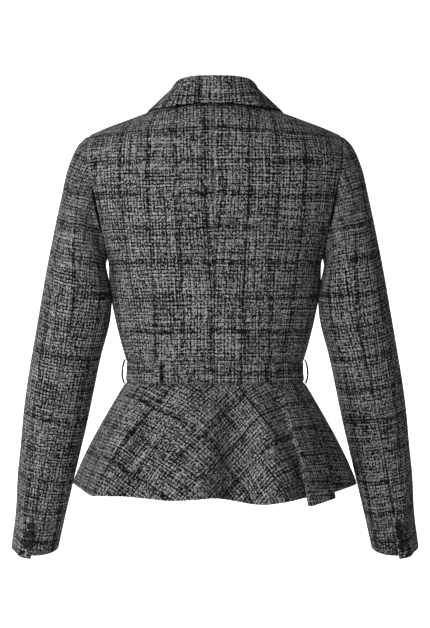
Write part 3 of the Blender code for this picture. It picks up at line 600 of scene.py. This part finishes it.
def hem_line(table, count):
    """The waved hem as a smooth curve through its table."""
    fine = through(np.arange(len(table)), table, np.linspace(0, len(table) - 1, 60 * len(table)))
    return even(fine, count)


def waist_line(a, b, way, sign, count):
    """The waist seam between two angles."""
    p = body(np.linspace(a, b, 400), np.full(400, WAIST_LOW), way)
    return even(p * [sign, 1, 1], count)


def flare(top, hem):
    """Cloth from waist seam to hem, swelling out by bow sin(pi v^1.3)^0.75.

    The hem is split into a slow curve, a Gaussian mean over 16 columns, and its flutes,
    which open as v^0.6, so that they start close under the seam.
    """
    v = np.linspace(0, 1, 56)[:, None, None]
    bell = np.exp(-0.5 * (np.arange(-48, 49) / 16.0) ** 2)
    wide = np.pad(hem, ((48, 48), (0, 0)), mode="reflect", reflect_type="odd")
    slow = np.stack([np.convolve(wide[:, k], bell / bell.sum(), "valid") for k in range(3)], -1)
    out = unit((slow - top) * [1.0, 1.0, 0.0])
    swell = PEPLUM_BOW * np.abs(np.sin(math.pi * v**1.3)) ** 0.75
    return top[None] + (slow - top)[None] * v + (hem - slow)[None] * v**0.6 + out[None] * swell


def sector(grid, turn):
    """Flat place in the ring of cloth, turned 45 degrees: (r sin a, -r cos a)."""
    slant = lengths(grid, 0)
    a = lengths(grid, 1)[-1:] / (RING_IN + slant[-1:].mean()) + turn
    r = RING_IN + slant
    flat = np.stack([r * np.sin(a), -r * np.cos(a)], -1)
    c = math.sqrt(0.5)
    return np.stack([c * (flat[..., 0] - flat[..., 1]), c * (flat[..., 0] + flat[..., 1])], -1)


hem = hem_line(HEM_BACK, 2000)
middle = int(np.argmin(np.abs(hem[:, 0] + 2)))
pep_back = flare(np.vstack([waist_line(0, math.pi / 2, 1, 1, 90),
                            waist_line(math.pi / 2, 0, 1, -1, 130)[1:]]),
                 np.vstack([even(hem[:middle + 1], 90), even(hem[middle:], 130)[1:]]))
pep_right = flare(waist_line(0, CF, -1, -1, 84), hem_line(HEM_RIGHT, 84))
pep_left = flare(waist_line(0, CF, -1, 1, 84), hem_line(HEM_LEFT, 84))
back_n, right_n, left_n = outward(pep_back), outward(pep_right), outward(pep_left)
meet_left, meet_right = unit(back_n[:, 0] + left_n[:, 0]), unit(back_n[:, -1] + right_n[:, 0])
back_n[:, 0], left_n[:, 0] = meet_left, meet_left
back_n[:, -1], right_n[:, 0] = meet_right, meet_right


def peplum(name, grid, away, sewn, free, turn, sunk=False):
    """One piece of the peplum, its top edge cut level beneath the waistband."""
    away[0, :, 2] = 0
    away[0] = unit(away[0])
    g = pressed(grid, away, ("first_row",) + sewn, 1.8, 2.2)
    rise = lengths(grid, 0)
    g -= away * (0.45 * np.exp(-((rise[-1:] - rise - HEM_TURN) / 2.2) ** 2))[..., None]
    if "first_col" in sewn:
        g[:, 0] += unit(g[:, 1] - g[:, 0]) * GAP / 2
    if "last_col" in sewn:
        g[:, -1] += unit(g[:, -2] - g[:, -1]) * GAP / 2
    if sunk:
        g -= away * (UNDER_LAP * ease((60 - g[..., 0]) / 24))[..., None]
    cut = sector(grid, turn) if name != "peplum_front_right" else elsewhere(sector(grid, turn))
    dress(shell("tweed_" + name, g, away, cut, free=("last_row",) + free),
          name)


peplum("peplum_back", pep_back, back_n, ("first_col", "last_col"), (), -0.90)
peplum("peplum_front_right", pep_right, right_n, ("first_col",), ("last_col",), -0.62)
peplum("peplum_front_left", pep_left, left_n, ("first_col",), ("last_col",), -0.62,
       sunk=True)

# Sleeves: long, each an upper and an under piece with a seam behind and one in front,
# set in the armhole. The hind seam ends in a lapped vent with three small buttons. The
# cloth drags in short folds at the armhole and breaks softly over the elbow.
SLEEVE = np.array([
    # out_x, out_z, in_x,  in_z,   mid_y, deep, tip_deg, along
    [206.0, -58.0, 163.9, -236.0, -4.0, 64.0, 0.0, 0.040],
    [219.5, -89.5, 162.5, -245.0, 0.0, 64.5, 0.0, 0.085],
    [231.2, -142.0, 159.5, -256.0, 5.0, 63.0, 0.0, 0.145],
    [241.5, -194.0, 156.5, -271.0, 12.0, 60.5, 0.0, 0.225],
    [251.3, -248.0, 153.5, -291.0, 19.0, 57.0, 0.0, 0.315],
    [262.7, -310.5, 158.0, -328.0, 14.0, 53.0, 2.0, 0.415],
    [272.3, -358.5, 171.0, -374.5, 2.0, 50.0, 6.0, 0.500],
    [281.6, -406.9, 181.8, -422.9, -9.0, 48.0, 10.0, 0.575],
    [289.4, -455.7, 192.6, -471.8, -21.0, 46.0, 12.0, 0.655],
    [295.0, -505.0, 205.0, -521.3, -33.0, 44.0, 13.0, 0.735],
    [301.3, -554.8, 217.4, -571.1, -45.0, 42.0, 13.5, 0.820],
    [306.0, -614.0, 231.6, -628.0, -59.0, 40.0, 14.0, 0.915],
    [314.0, -667.0, 241.2, -669.0, -72.0, 38.5, 14.5, 1.000],
])
SEAM_BACK, SEAM_FRONT = 42, 96          # columns of the two seams, of 144 round the ring
PER_STEP = 6.0                          # columns to a step of 15 degrees
VENT = 0.885                            # the share of the sleeve where its vent starts
SLEEVE_V = np.concatenate([[0.0, 0.006, 0.013, 0.02], np.linspace(0.03, 1.0, 116)])
ARM_RING = np.vstack([BACK[ARM_ROW:, -1][::-1], FRONT[ARM_ROW:, -1][1:-1]])
ARM_N = np.vstack([BACK_N[ARM_ROW:, -1][::-1], FRONT_N[ARM_ROW:, -1][1:-1]])
RING = len(ARM_RING)
HALF_RING = RING // 2
SLEEVE_FOLDS = {
    # x,     z,      to_x,  to_z,  deep, wide
    "left": [[217.0, -130.0, 166.0, -190.0, 5.0, 11.0],
             [236.0, -196.0, 196.0, -214.0, 1.5, 12.0],
             [200.0, -228.0, 172.0, -262.0, 1.6, 9.0],
             [252.0, -330.0, 196.0, -352.0, 1.6, 13.0],
             [262.0, -402.0, 196.0, -398.0, 1.8, 12.0],
             [272.0, -436.0, 212.0, -452.0, 1.2, 12.0],
             [284.0, -560.0, 232.0, -574.0, 1.0, 12.0]],
    "right": [[176.0, -148.0, 164.0, -188.0, 4.0, 9.0],
              [218.0, -148.0, 196.0, -184.0, 5.0, 11.0],
              [232.0, -226.0, 188.0, -248.0, 1.6, 12.0],
              [240.0, -322.0, 186.0, -330.0, 1.4, 12.0],
              [268.0, -388.0, 204.0, -404.0, 1.8, 12.0],
              [276.0, -446.0, 220.0, -450.0, 1.3, 11.0],
              [288.0, -538.0, 236.0, -556.0, 1.0, 12.0]],
}
FRONT_SLEEVE_FOLDS = [
    [214.0, -136.0, 170.0, -186.0, 3.4, 11.0],
    [232.0, -232.0, 178.0, -256.0, 2.0, 12.0],
    [262.0, -392.0, 184.0, -372.0, 3.0, 12.0],
    [268.0, -424.0, 194.0, -440.0, 2.4, 11.0],
    [278.0, -470.0, 216.0, -476.0, 1.4, 12.0],
]


def sleeve_rings(v):
    """Rings of the sleeve from the armhole to the cuff, as ellipses on the table's points."""
    loop = np.vstack([ARM_RING, ARM_RING[:1]])
    run = np.concatenate([[0], np.cumsum(np.linalg.norm(np.diff(loop, axis=0), axis=1))])
    down = run[:HALF_RING + 1] / run[HALF_RING] * math.pi
    up = math.pi + (run[HALF_RING:-1] - run[HALF_RING]) / (run[-1] - run[HALF_RING]) * math.pi
    angle = np.concatenate([down, up[1:]])
    tent = np.interp(np.arange(RING), [0, SEAM_BACK, HALF_RING, RING], [0, 1, 0, 0])
    rows = [ARM_RING + np.array([0.5, 0, 0])]
    for out_x, out_z, in_x, in_z, mid_y, deep, tip, along in SLEEVE:
        ang = angle + tent * (math.radians(100 - 21 * along) - angle[SEAM_BACK])
        mid = np.array([(out_x + in_x) / 2, mid_y, (out_z + in_z) / 2])
        arm = np.array([(out_x - in_x) / 2, 0, (out_z - in_z) / 2])
        tip = math.radians(tip)
        behind = np.array([0, math.cos(tip), -math.sin(tip)]) * deep
        rows.append(mid + np.cos(ang)[:, None] * arm + np.sin(ang)[:, None] * behind)
    return through(np.concatenate([[0], SLEEVE[:, 7]]), np.array(rows), v)


def sleeve(side):
    """One sleeve: both pieces, with folds, sewn edges, the vent and the flat map."""
    plain = sleeve_rings(SLEEVE_V)
    n = outward(plain, True)
    n *= np.sign((n[60] * (plain[60] - plain[60].mean(0))).sum())
    behind = ease((n[..., 1:2] - 0.1) / 0.4)
    before = ease((-n[..., 1:2] - 0.1) / 0.4)
    start = ease(SLEEVE_V / 0.03)[:, None, None]
    g = plain + (creased(plain, n, SLEEVE_FOLDS[side]) - plain) * behind * start
    g = g + (creased(plain, n, FRONT_SLEEVE_FOLDS) - plain) * before * start
    w = ease(((n[0] * ARM_N).sum(-1, keepdims=True) + 0.2) / 0.7)
    n[0] = unit(n[0] * (1 - w) + ARM_N * w)
    # flat place: round each row from the top, and along each column from the elbow row
    low = lengths(plain, 0)
    elbow = int(np.argmin(np.abs(SLEEVE_V - 0.575)))
    flat_y = -152.5 - (low - low[elbow:elbow + 1])
    top_cols = np.arange(SEAM_FRONT - RING, SEAM_BACK + 1)
    low_cols = np.arange(SEAM_BACK, SEAM_FRONT + 1)
    v = SLEEVE_V[:, None]
    for name, cols, size, area in (("upper_sleeve_", top_cols, (0.235, 0.66), 0.118),
                                   ("under_sleeve_", low_cols, (0.14, 0.50), 0.056)):
        part, part_n = g[:, cols].copy(), n[:, cols].copy()
        across = lengths(plain[:, cols], 1)
        zero = across[:, -int(cols[0])] if cols[0] < 0 else across[:, 0] - 128.0
        cut = np.stack([across - zero[:, None], flat_y[:, cols]], -1)
        half = GAP / 2 + 0.45 * np.exp(-SLEEVE_V / 0.05)[:, None]
        part = pressed(part, part_n, ("first_col", "last_col"), 0.8, 2.4)
        part = pressed(part, part_n, ("first_row",), 1.8, 2.2)
        part[:, 0] += unit(part[:, 1] - part[:, 0]) * half
        part[:, -1] += unit(part[:, -2] - part[:, -1]) * half
        if name == "upper_sleeve_":
            # the vent: this piece rises over the under sleeve and passes its edge
            back = (np.arange(len(cols)) - len(cols) + 1)[None, :] / PER_STEP
            rise = 3.0 * ease((v - VENT + 0.06) / 0.045) * ease((back + 3.0) / 2.0)
            part += part_n * rise[..., None]
            past = 4.5 * ease((v - VENT) / 0.02) * ease((back + 0.8) / 0.8)
            part += unit(part[:, -1] - part[:, -3])[:, None] * past[..., None]
            part[..., 2] -= 4.0 * ease((back + 3.0) / 3.0) * ease((v - 0.94) / 0.06)
            upper = part, part_n
        if side == "right":
            part, part_n, cut = mirror(part), mirror(part_n), elsewhere(cut)
        dress(shell("tweed_" + name + side, part, part_n, cut, free=("last_row",)),
              name + side)
    return upper


UPPER, UPPER_N = sleeve("left")
sleeve("right")

# Collar: one doubled strip that stands 36 mm behind the neck and rolls over to a fall
# with open, notched ends. It is cut crosswise, with a soft pressed edge.
LEAF = 2.2              # thickness of a doubled collar or lapel leaf
ROLL_R = 3.0            # radius of the fold at the top of the collar
GORGE_ROW = 103         # row of the front, halfway up its cap, where the collar ends
COLLAR = np.array([
    # at,  fold_x, fold_y, fold_z, edge_x, edge_y, edge_z
    [0.00, 0.0, 57.0, 36.8, 0.0, 78.5, -2.0],
    [0.27, 36.0, 51.0, 35.5, 43.0, 73.0, -3.5],
    [0.45, 53.0, 33.0, 32.5, 75.5, 48.0, -5.0],
    [0.55, 60.5, 8.0, 27.5, 95.5, 10.0, -4.5],
    [0.70, 65.0, -22.0, 12.0, 104.5, -28.0, -12.5],
    [0.85, 61.5, -50.0, -10.0, 107.0, -55.0, -33.0],
    [1.00, 53.0, -79.0, -33.0, 97.0, -71.5, -48.0],
])


def collar():
    """Rows from the neck seam up the stand, round the fold and down the fall."""
    base = np.vstack([BACK[-1, :NECK_COLS + 1], FRONT[GORGE_ROW:, 0][::-1][1:]])
    base_n = np.vstack([BACK_N[-1, :NECK_COLS + 1], FRONT_N[GORGE_ROW:, 0][::-1][1:]])
    behind = unit(BACK[-1, :NECK_COLS + 1] - BACK[-2, :NECK_COLS + 1])
    before = unit(FRONT[GORGE_ROW:, 0] - FRONT[GORGE_ROW:, 1])[::-1]
    inside = np.vstack([behind, before[1:]])
    inside[NECK_COLS] = unit(np.array([-1.0, 0, 0.1]))
    at = np.concatenate([np.linspace(0, 0.55, NECK_COLS + 1),
                         np.linspace(0.55, 1.0, len(before))[1:]])
    fold, edge = through(COLLAR[:, 0], COLLAR[:, 1:4], at), through(COLLAR[:, 0], COLLAR[:, 4:7], at)
    root = base - base_n * CLOTH / 2 + inside * 0.47
    tang = unit(np.gradient(fold, axis=0))
    tang[0] = [1, 0, 0]
    out = edge - root
    out = unit(out - (out * tang).sum(-1, keepdims=True) * tang)
    up = unit(np.cross(out, tang))
    up *= np.sign((up * (fold - root)).sum(-1, keepdims=True))
    rows = [root + (fold - out * ROLL_R - root) * k for k in np.linspace(0, 0.95, 10)]
    for a in np.radians(np.linspace(0, 180, 15)):
        rows.append(fold + ROLL_R * (-out * math.cos(a) + up * math.sin(a)))
    rise = fold + out * ROLL_R
    for k in np.linspace(0.06, 1.0, 20):
        rows.append(rise + (edge - rise) * k + up * 0.8 * math.sin(math.pi * k))
    g = np.array(rows)
    n = unit(np.cross(np.gradient(g, axis=1), np.gradient(g, axis=0)))
    n *= np.sign((n[17] * up).sum())
    n[:, 0, 0] = 0
    n = unit(n)
    n[0] = base_n
    full = np.concatenate([mirror(g)[:, :0:-1], g], axis=1)
    full_n = np.concatenate([mirror(n)[:, :0:-1], n], axis=1)
    up_there = lengths(full, 0)
    along = lengths(full, 1)[24:25]
    cut = np.stack([along - along[:, along.shape[1] // 2, None] + 0 * up_there - 22.0,
                    -up_there + 30.0], -1)
    full = pressed(full, full_n, ("first_row",), 0.5, 2.5)
    piece = shell("tweed_collar", full, full_n, cut, free=("last_row", "first_col", "last_col"),
                  outer=LEAF / 2, inner=LEAF / 2)
    dress(piece, "collar")


collar()

# Lapels: each is the front's own doubled edge, rolled back from the button stance at
# the first button up to the notch. The left one narrows where it tucks under the right.
LAPEL = np.array([
    # row_z, wide, drop
    [-40.0, 60.0, 27.0],
    [-66.0, 63.0, 28.0],
    [-110.0, 52.0, 24.0],
    [-150.0, 36.0, 16.0],
    [-190.0, 15.0, 6.0],
    [-212.0, 4.0, 0.0],
])
LAPEL_TOP = 2.45        # bodice row, as v, where the lapel's top edge starts


def fine_normal(u, v):
    """Outward way of the front by small steps along it."""
    e = 0.004
    low = np.where(v > 2.9, v - e, np.maximum(v - e, 0.0))
    du = bodice(u + e, v, -1) - bodice(u - e, v, -1)
    return unit(np.cross(du, bodice(u, np.minimum(v + e, 3.0), -1) - bodice(u, low, -1)))


def lapel(side):
    """Profile round the front's edge and out over it, at rows down the roll line."""
    rows_v = np.linspace(LAPEL_TOP, 1.12 if side == "right" else 1.66, 70)
    edge = bodice(0 * rows_v, rows_v, -1)
    order = np.argsort(LAPEL[:, 0])
    wide = through(LAPEL[order, 0], LAPEL[order, 1], edge[:, 2])
    drop = through(LAPEL[order, 0], LAPEL[order, 2], edge[:, 2])
    if side == "left":
        keep = ease((edge[:, 2] + 158) / 60)
        wide, drop = wide * keep + 3 * (1 - keep), drop * keep
    e = 1e-3
    across = np.linalg.norm(bodice(0 * rows_v + e, rows_v, -1) - edge, axis=1) / e
    climb = bodice(0 * rows_v, rows_v + e, -1) - bodice(0 * rows_v, rows_v - e, -1)
    climb = climb[:, 2] / (2 * e)
    r = np.minimum(2.6, 1.3 + wide * 0.05)
    profile = [(-0.42 + 0 * r, -CLOTH / 2 + 0 * r)]
    for a in np.radians(np.linspace(20, 165, 9)):
        profile.append((-0.62 - r * math.sin(a), -CLOTH / 2 + r * (1 - math.cos(a))))
    for k in np.linspace(0.06, 1.0, 22):
        high = -CLOTH / 2 + 2 * r
        profile.append((wide * k, high + (LEAF / 2 + 0.5 - high) * k**0.8))
    g, ways = [], []
    for d, h in profile:
        k = np.clip(d / np.maximum(wide, 1), 0, 1)
        u, v = np.maximum(d / across, 0.0), rows_v - drop * k / climb
        p, away = bodice(u, v, -1), fine_normal(u, v)
        inward = unit(bodice(0 * u, v, -1) - bodice(0 * u + 0.01, v, -1))
        p = p + inward * np.maximum(-d, 0)[:, None]
        if side == "left":
            p = under(p, away)
        g.append(p + away * h[:, None])
        ways.append(away)
    g = np.array(g)
    n = unit(np.cross(np.gradient(g, axis=1), np.gradient(g, axis=0)))
    n *= np.sign((n[-1] * ways[-1]).sum())
    n[0] = -ways[0]
    n[0] *= np.sign((n[0] * n[1]).sum())
    cut = np.stack([lengths(g, 0) - 30.0, g[-1:, :, 2] + 0 * g[..., 2] + 120.0], -1)
    if side == "right":
        g, n, cut = mirror(g), mirror(n), elsewhere(cut)
    piece = shell("tweed_lapel_" + side, g, n, cut, free=("last_row", "first_col", "last_col"),
                  outer=LEAF / 2, inner=LEAF / 2)
    dress(piece, "lapel_" + side)


lapel("right")
lapel("left")

# Belt loops: four strips 8 mm wide of the same tweed, folded lengthwise and sewn down
# above and below the waistband, two at the sides and two on the back darts. The side
# loops are cut centred on the pane's black line, which paints in the shade of loops seen edge-on.
LOOP_WIDE = 8.0
LOOP_BOW = 5.4          # how far a loop stands off the band at its middle
LOOP_AT = 82.0          # the back loops' distance from the centre seam


def belt_loop(name, theta, place):
    """A strip bowed out from the band: stand = 0.5 + bow (1 - |k|^2.4)."""
    zs = np.linspace(WAIST_TOP + 3.0, WAIST_LOW - 2.2, 41)
    p0 = body(np.array([theta]), np.array([-397.0]), 1)[0]
    side = unit(body(np.array([theta + 0.01]), np.array([-397.0]), 1)[0] - p0)
    n = unit(np.cross(side, [0, 0, 1.0]))
    n = n * np.sign(n @ p0)
    s = np.linspace(-1, 1, 11)
    stand = 0.5 + LOOP_BOW * (1 - np.abs(np.linspace(-1, 1, 41)) ** 2.4)
    stand += np.maximum(WAIST_LOW - zs, 0) * 0.56
    line = body(np.full(41, theta), zs, 1)
    g = line[:, None] + s[None, :, None] * side * LOOP_WIDE / 2 + n * stand[:, None, None]
    g = g - n * (0.5 * s**4)[None, :, None]
    # place sets where the strip lies on the cloth; for the side loops it puts the pane's black line on
    # them as painted shade
    cut = np.stack([lengths(g, 1) + place, lengths(g, 0) + 12.0], -1)
    piece = shell("tweed_" + name, g, n + 0 * g, cut, free=("first_col", "last_col"),
                  outer=1.8, inner=0.5)
    dress(piece, name)


BACK_LOOP = float(theta_at(np.array(LOOP_AT), np.array(-397.0), 1, 0))
# the side loops' places (-4 and 80) centre them on the pane's black line: painted shade
belt_loop("belt_loop_side_left", 0.035, -4.0)
belt_loop("belt_loop_back_left", BACK_LOOP, 20.0)
belt_loop("belt_loop_side_right", math.pi - 0.035, 80.0)
belt_loop("belt_loop_back_right", math.pi - BACK_LOOP, 110.0)

# Buttons: dark moulded resin with a rim, a dished middle and four holes, sewn on with
# black thread. Four close the front and three sit on each cuff's vent.
HOLE_R = 0.95           # radius of a sewing hole
HOLE_AT = 1.9           # its distance from the middle each way
SHAPE = np.array([
    # share of the radius, share of the thickness
    [0.00, 0.62],
    [0.42, 0.62],
    [0.60, 0.70],
    [0.74, 0.94],
    [0.86, 1.00],
    [0.95, 0.90],
    [1.00, 0.66],
])


def resin():
    """Black resin with a faint cloudy marbling and a soft shine."""
    mat, tree, shader = new_material("black_button_resin")
    where = add(tree, "ShaderNodeTexCoord")
    cloud = add(tree, "ShaderNodeTexNoise", {"Vector": where.outputs["Object"]}, _2=160.0, _3=3.0)
    colour = add(tree, "ShaderNodeValToRGB", {0: cloud.outputs[0]})
    fill_ramp(colour, [(0.35, "#0d0c0c"), (0.7, "#1d1a19")])
    tree.links.new(colour.outputs[0], shader.inputs["Base Color"])
    shader.inputs["Roughness"].default_value = 0.32
    shader.inputs["Coat Weight"].default_value = 0.2
    return mat


def thread():
    """Black sewing cotton."""
    mat, _, shader = new_material("black_cotton_thread")
    shader.inputs["Base Color"].default_value = linear("#151414")
    shader.inputs["Roughness"].default_value = 0.85
    return mat


RESIN, THREAD_BLACK = resin(), thread()


def tube(rings, sides):
    """Faces between the rings of a tube's points."""
    i = (np.arange(rings - 1)[:, None] * sides + np.arange(sides)).ravel()
    j = (np.arange(rings - 1)[:, None] * sides + (np.arange(sides) + 1) % sides).ravel()
    return np.stack([i, j, j + sides, i + sides], -1)


def strand(a, b, up, r=0.42, sides=8, steps=9):
    """Points and faces of one thread arched from hole to hole."""
    k = np.linspace(0, 1, steps)[:, None]
    line = a + (b - a) * k + up * (1.1 * np.sin(math.pi * k) - 0.7)
    way = unit(np.gradient(line, axis=0))
    side = unit(np.cross(way, up))
    over = np.cross(side, way)
    t = np.linspace(0, 2 * math.pi, sides, endpoint=False)
    ring = line[:, None] + r * (np.cos(t)[None, :, None] * side[:, None]
                                + np.sin(t)[None, :, None] * over[:, None])
    return ring.reshape(-1, 3), tube(steps, sides)


def button(name, centre, n, radius, thick):
    """A turned disc with pits for its holes and two arched threads, at its place."""
    n = unit(np.asarray(n, float))
    a = unit(np.cross(n, [0, 0, 1.0]))
    b = np.cross(n, a)
    scale = radius / 10.0
    rr = np.concatenate([np.linspace(0.02, 0.42, 26), np.linspace(0.45, 1.0, 16)])
    t = np.linspace(0, 2 * math.pi, 96, endpoint=False)
    x, y = rr[:, None] * np.cos(t) * radius, rr[:, None] * np.sin(t) * radius
    high = through(SHAPE[:, 0], SHAPE[:, 1], rr)[:, None] * thick + 0 * x
    for sx, sy in ((1, 1), (1, -1), (-1, 1), (-1, -1)):
        off = np.hypot(x - sx * HOLE_AT * scale, y - sy * HOLE_AT * scale)
        high = high - 0.55 * thick * ease((HOLE_R * scale - off) / (0.3 * scale) + 0.5)
    top = np.stack([x, y, high], -1)
    edge = top[-1]
    low = np.stack([edge * [1, 1, 0] + [0, 0, thick * 0.28], edge * [0.8, 0.8, 0]], 0)
    rows = np.concatenate([top, low])
    m = len(t)
    last = (len(rows) - 1) * m
    faces = tube(len(rows), m)[:, [0, 3, 2, 1]].tolist()
    faces += [tuple(range(m)), tuple(last + k for k in range(m - 1, -1, -1))]
    flat = rows.reshape(-1, 3)
    extra = []
    base = len(flat)
    for sx in (1, -1):
        hole = HOLE_AT * scale
        level = thick * 0.62
        pts, f = strand(np.array([sx * hole, hole, level]), np.array([sx * hole, -hole, level]),
                        np.array([0, 0, 1.0]))
        extra += (f + base).tolist()
        base += len(pts)
        flat = np.vstack([flat, pts])
    world = centre + flat[:, :1] * a + flat[:, 1:2] * b + flat[:, 2:] * n
    if np.dot(np.cross(a, b), n) < 0:
        faces = [f[::-1] for f in faces]
        extra = [f[::-1] for f in extra]
    mesh = bpy.data.meshes.new(name)
    mesh.from_pydata((world * 0.001).tolist(), [], faces + extra)
    mesh.materials.append(RESIN)
    mesh.materials.append(THREAD_BLACK)
    which = np.concatenate([np.zeros(len(faces)), np.ones(len(extra))]).astype(np.int32)
    mesh.polygons.foreach_set("material_index", which)
    mesh.shade_smooth()
    mesh.update()
    piece = in_scene("resin_" + name, mesh)
    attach(piece, "root")
    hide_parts(name)


for i, z in enumerate((-236.0, -296.0, -356.0, -396.5)):
    p, q = body(np.full(2, math.pi / 2), np.array([z, z + 1.0]), -1)
    n = unit(np.cross(q - p, [1.0, 0, 0]))
    n = n * np.sign(-n[1])
    button("front_button_%d" % (i + 1), p + n * (0.1 if i == 0 else 0.75), n, 10.0, 3.6)
for side in ("left", "right"):
    for i, v in enumerate((0.917, 0.942, 0.967)):
        row, row_n = through(SLEEVE_V, UPPER, np.array([v]))[0], through(SLEEVE_V, UPPER_N, [v])[0]
        k = len(row) - 3
        chord = unit(row[k + 1] - row[k - 1])
        n = unit(row_n[k] - (row_n[k] @ chord) * chord)
        p = row[k] + n * 0.7
        if side == "right":
            p, n = mirror(p), mirror(n)
        button("cuff_button_%s_%d" % (side, i + 1), p, n, 7.0, 3.0)

# Stage: a pale seamless sweep of paper, lit on its own. Soft square lights stand near
# the camera and at its left, with a weak one at the right and one above. The camera is
# level with the jacket's middle. Places are in metres.
FLOOR_Z = -1.35
WALL_Y = -5.2
BEND = 0.9              # radius between the floor and the wall
paper, _, shader = new_material("pale_paper")
shader.inputs["Base Color"].default_value = linear("#f6f6f5")
shader.inputs["Roughness"].default_value = 0.9
sweep = bpy.data.meshes.new("pale_sweep")
turn = np.radians(np.linspace(0, 90, 17))
curve = np.stack([WALL_Y + BEND - BEND * np.sin(turn), FLOOR_Z + BEND - BEND * np.cos(turn)], -1)
profile = np.vstack([[4.5, FLOOR_Z], curve, [WALL_Y, 4.0]])
count = len(profile)
points = np.vstack([np.column_stack([np.full(count, x), profile]) for x in (-6.0, 6.0)])
i = np.arange(count - 1)
sweep.from_pydata(points.tolist(), [], np.stack([i, i + 1, i + 1 + count, i + count], -1).tolist())
sweep.shade_smooth()
sweep.materials.append(paper)
in_scene("pale_sweep", sweep)


def lamp(name, place, target, size, power):
    """A square area light at a place, aimed at a target."""
    data = bpy.data.lights.new(name, "AREA")
    data.size, data.energy = size, power
    light = in_scene(name, data)
    light.location = place
    light.visible_camera = False
    way = np.array(target) - np.array(place)
    light.rotation_euler = (math.acos(-way[2] / np.linalg.norm(way)), 0,
                            math.atan2(way[1], way[0]) - math.pi / 2)


MIDDLE = (0.0, 0.0, -0.31)
lamp("soft_key", (1.2, 3.0, 0.3), MIDDLE, 1.2, 30.0)
lamp("high_left_light", (2.2, 2.0, 1.4), MIDDLE, 1.2, 19.0)
lamp("low_left_light", (3.0, 1.0, 0.4), MIDDLE, 1.2, 15.0)
lamp("top_light", (0.3, 0.9, 2.4), MIDDLE, 1.5, 4.5)
lamp("weak_right_light", (-3.0, 0.8, 0.4), MIDDLE, 1.2, 1.2)
lamp("backdrop_light_left", (2.4, -3.0, -0.2), (1.0, WALL_Y, -0.4), 1.5, 120.0)
lamp("backdrop_light_right", (-2.4, -3.0, -0.2), (-1.0, WALL_Y, -0.4), 1.5, 120.0)
world = bpy.data.worlds.new("pale_sky")
world.use_nodes = True
world.node_tree.nodes["Background"].inputs[0].default_value = linear("#f4f6f8")
world.node_tree.nodes["Background"].inputs[1].default_value = 0.02
bpy.context.scene.world = world

camera_data = bpy.data.cameras.new("camera")
camera_data.sensor_fit = "VERTICAL"
camera_data.sensor_height = 36.0
camera_data.lens = 95.5
camera = in_scene("camera", camera_data)
camera.location = (0.0, 2.5, -0.310)
camera.rotation_euler = (math.pi / 2, 0, math.pi)
bpy.context.scene.camera = camera
bpy.context.scene.view_settings.view_transform = "Standard"
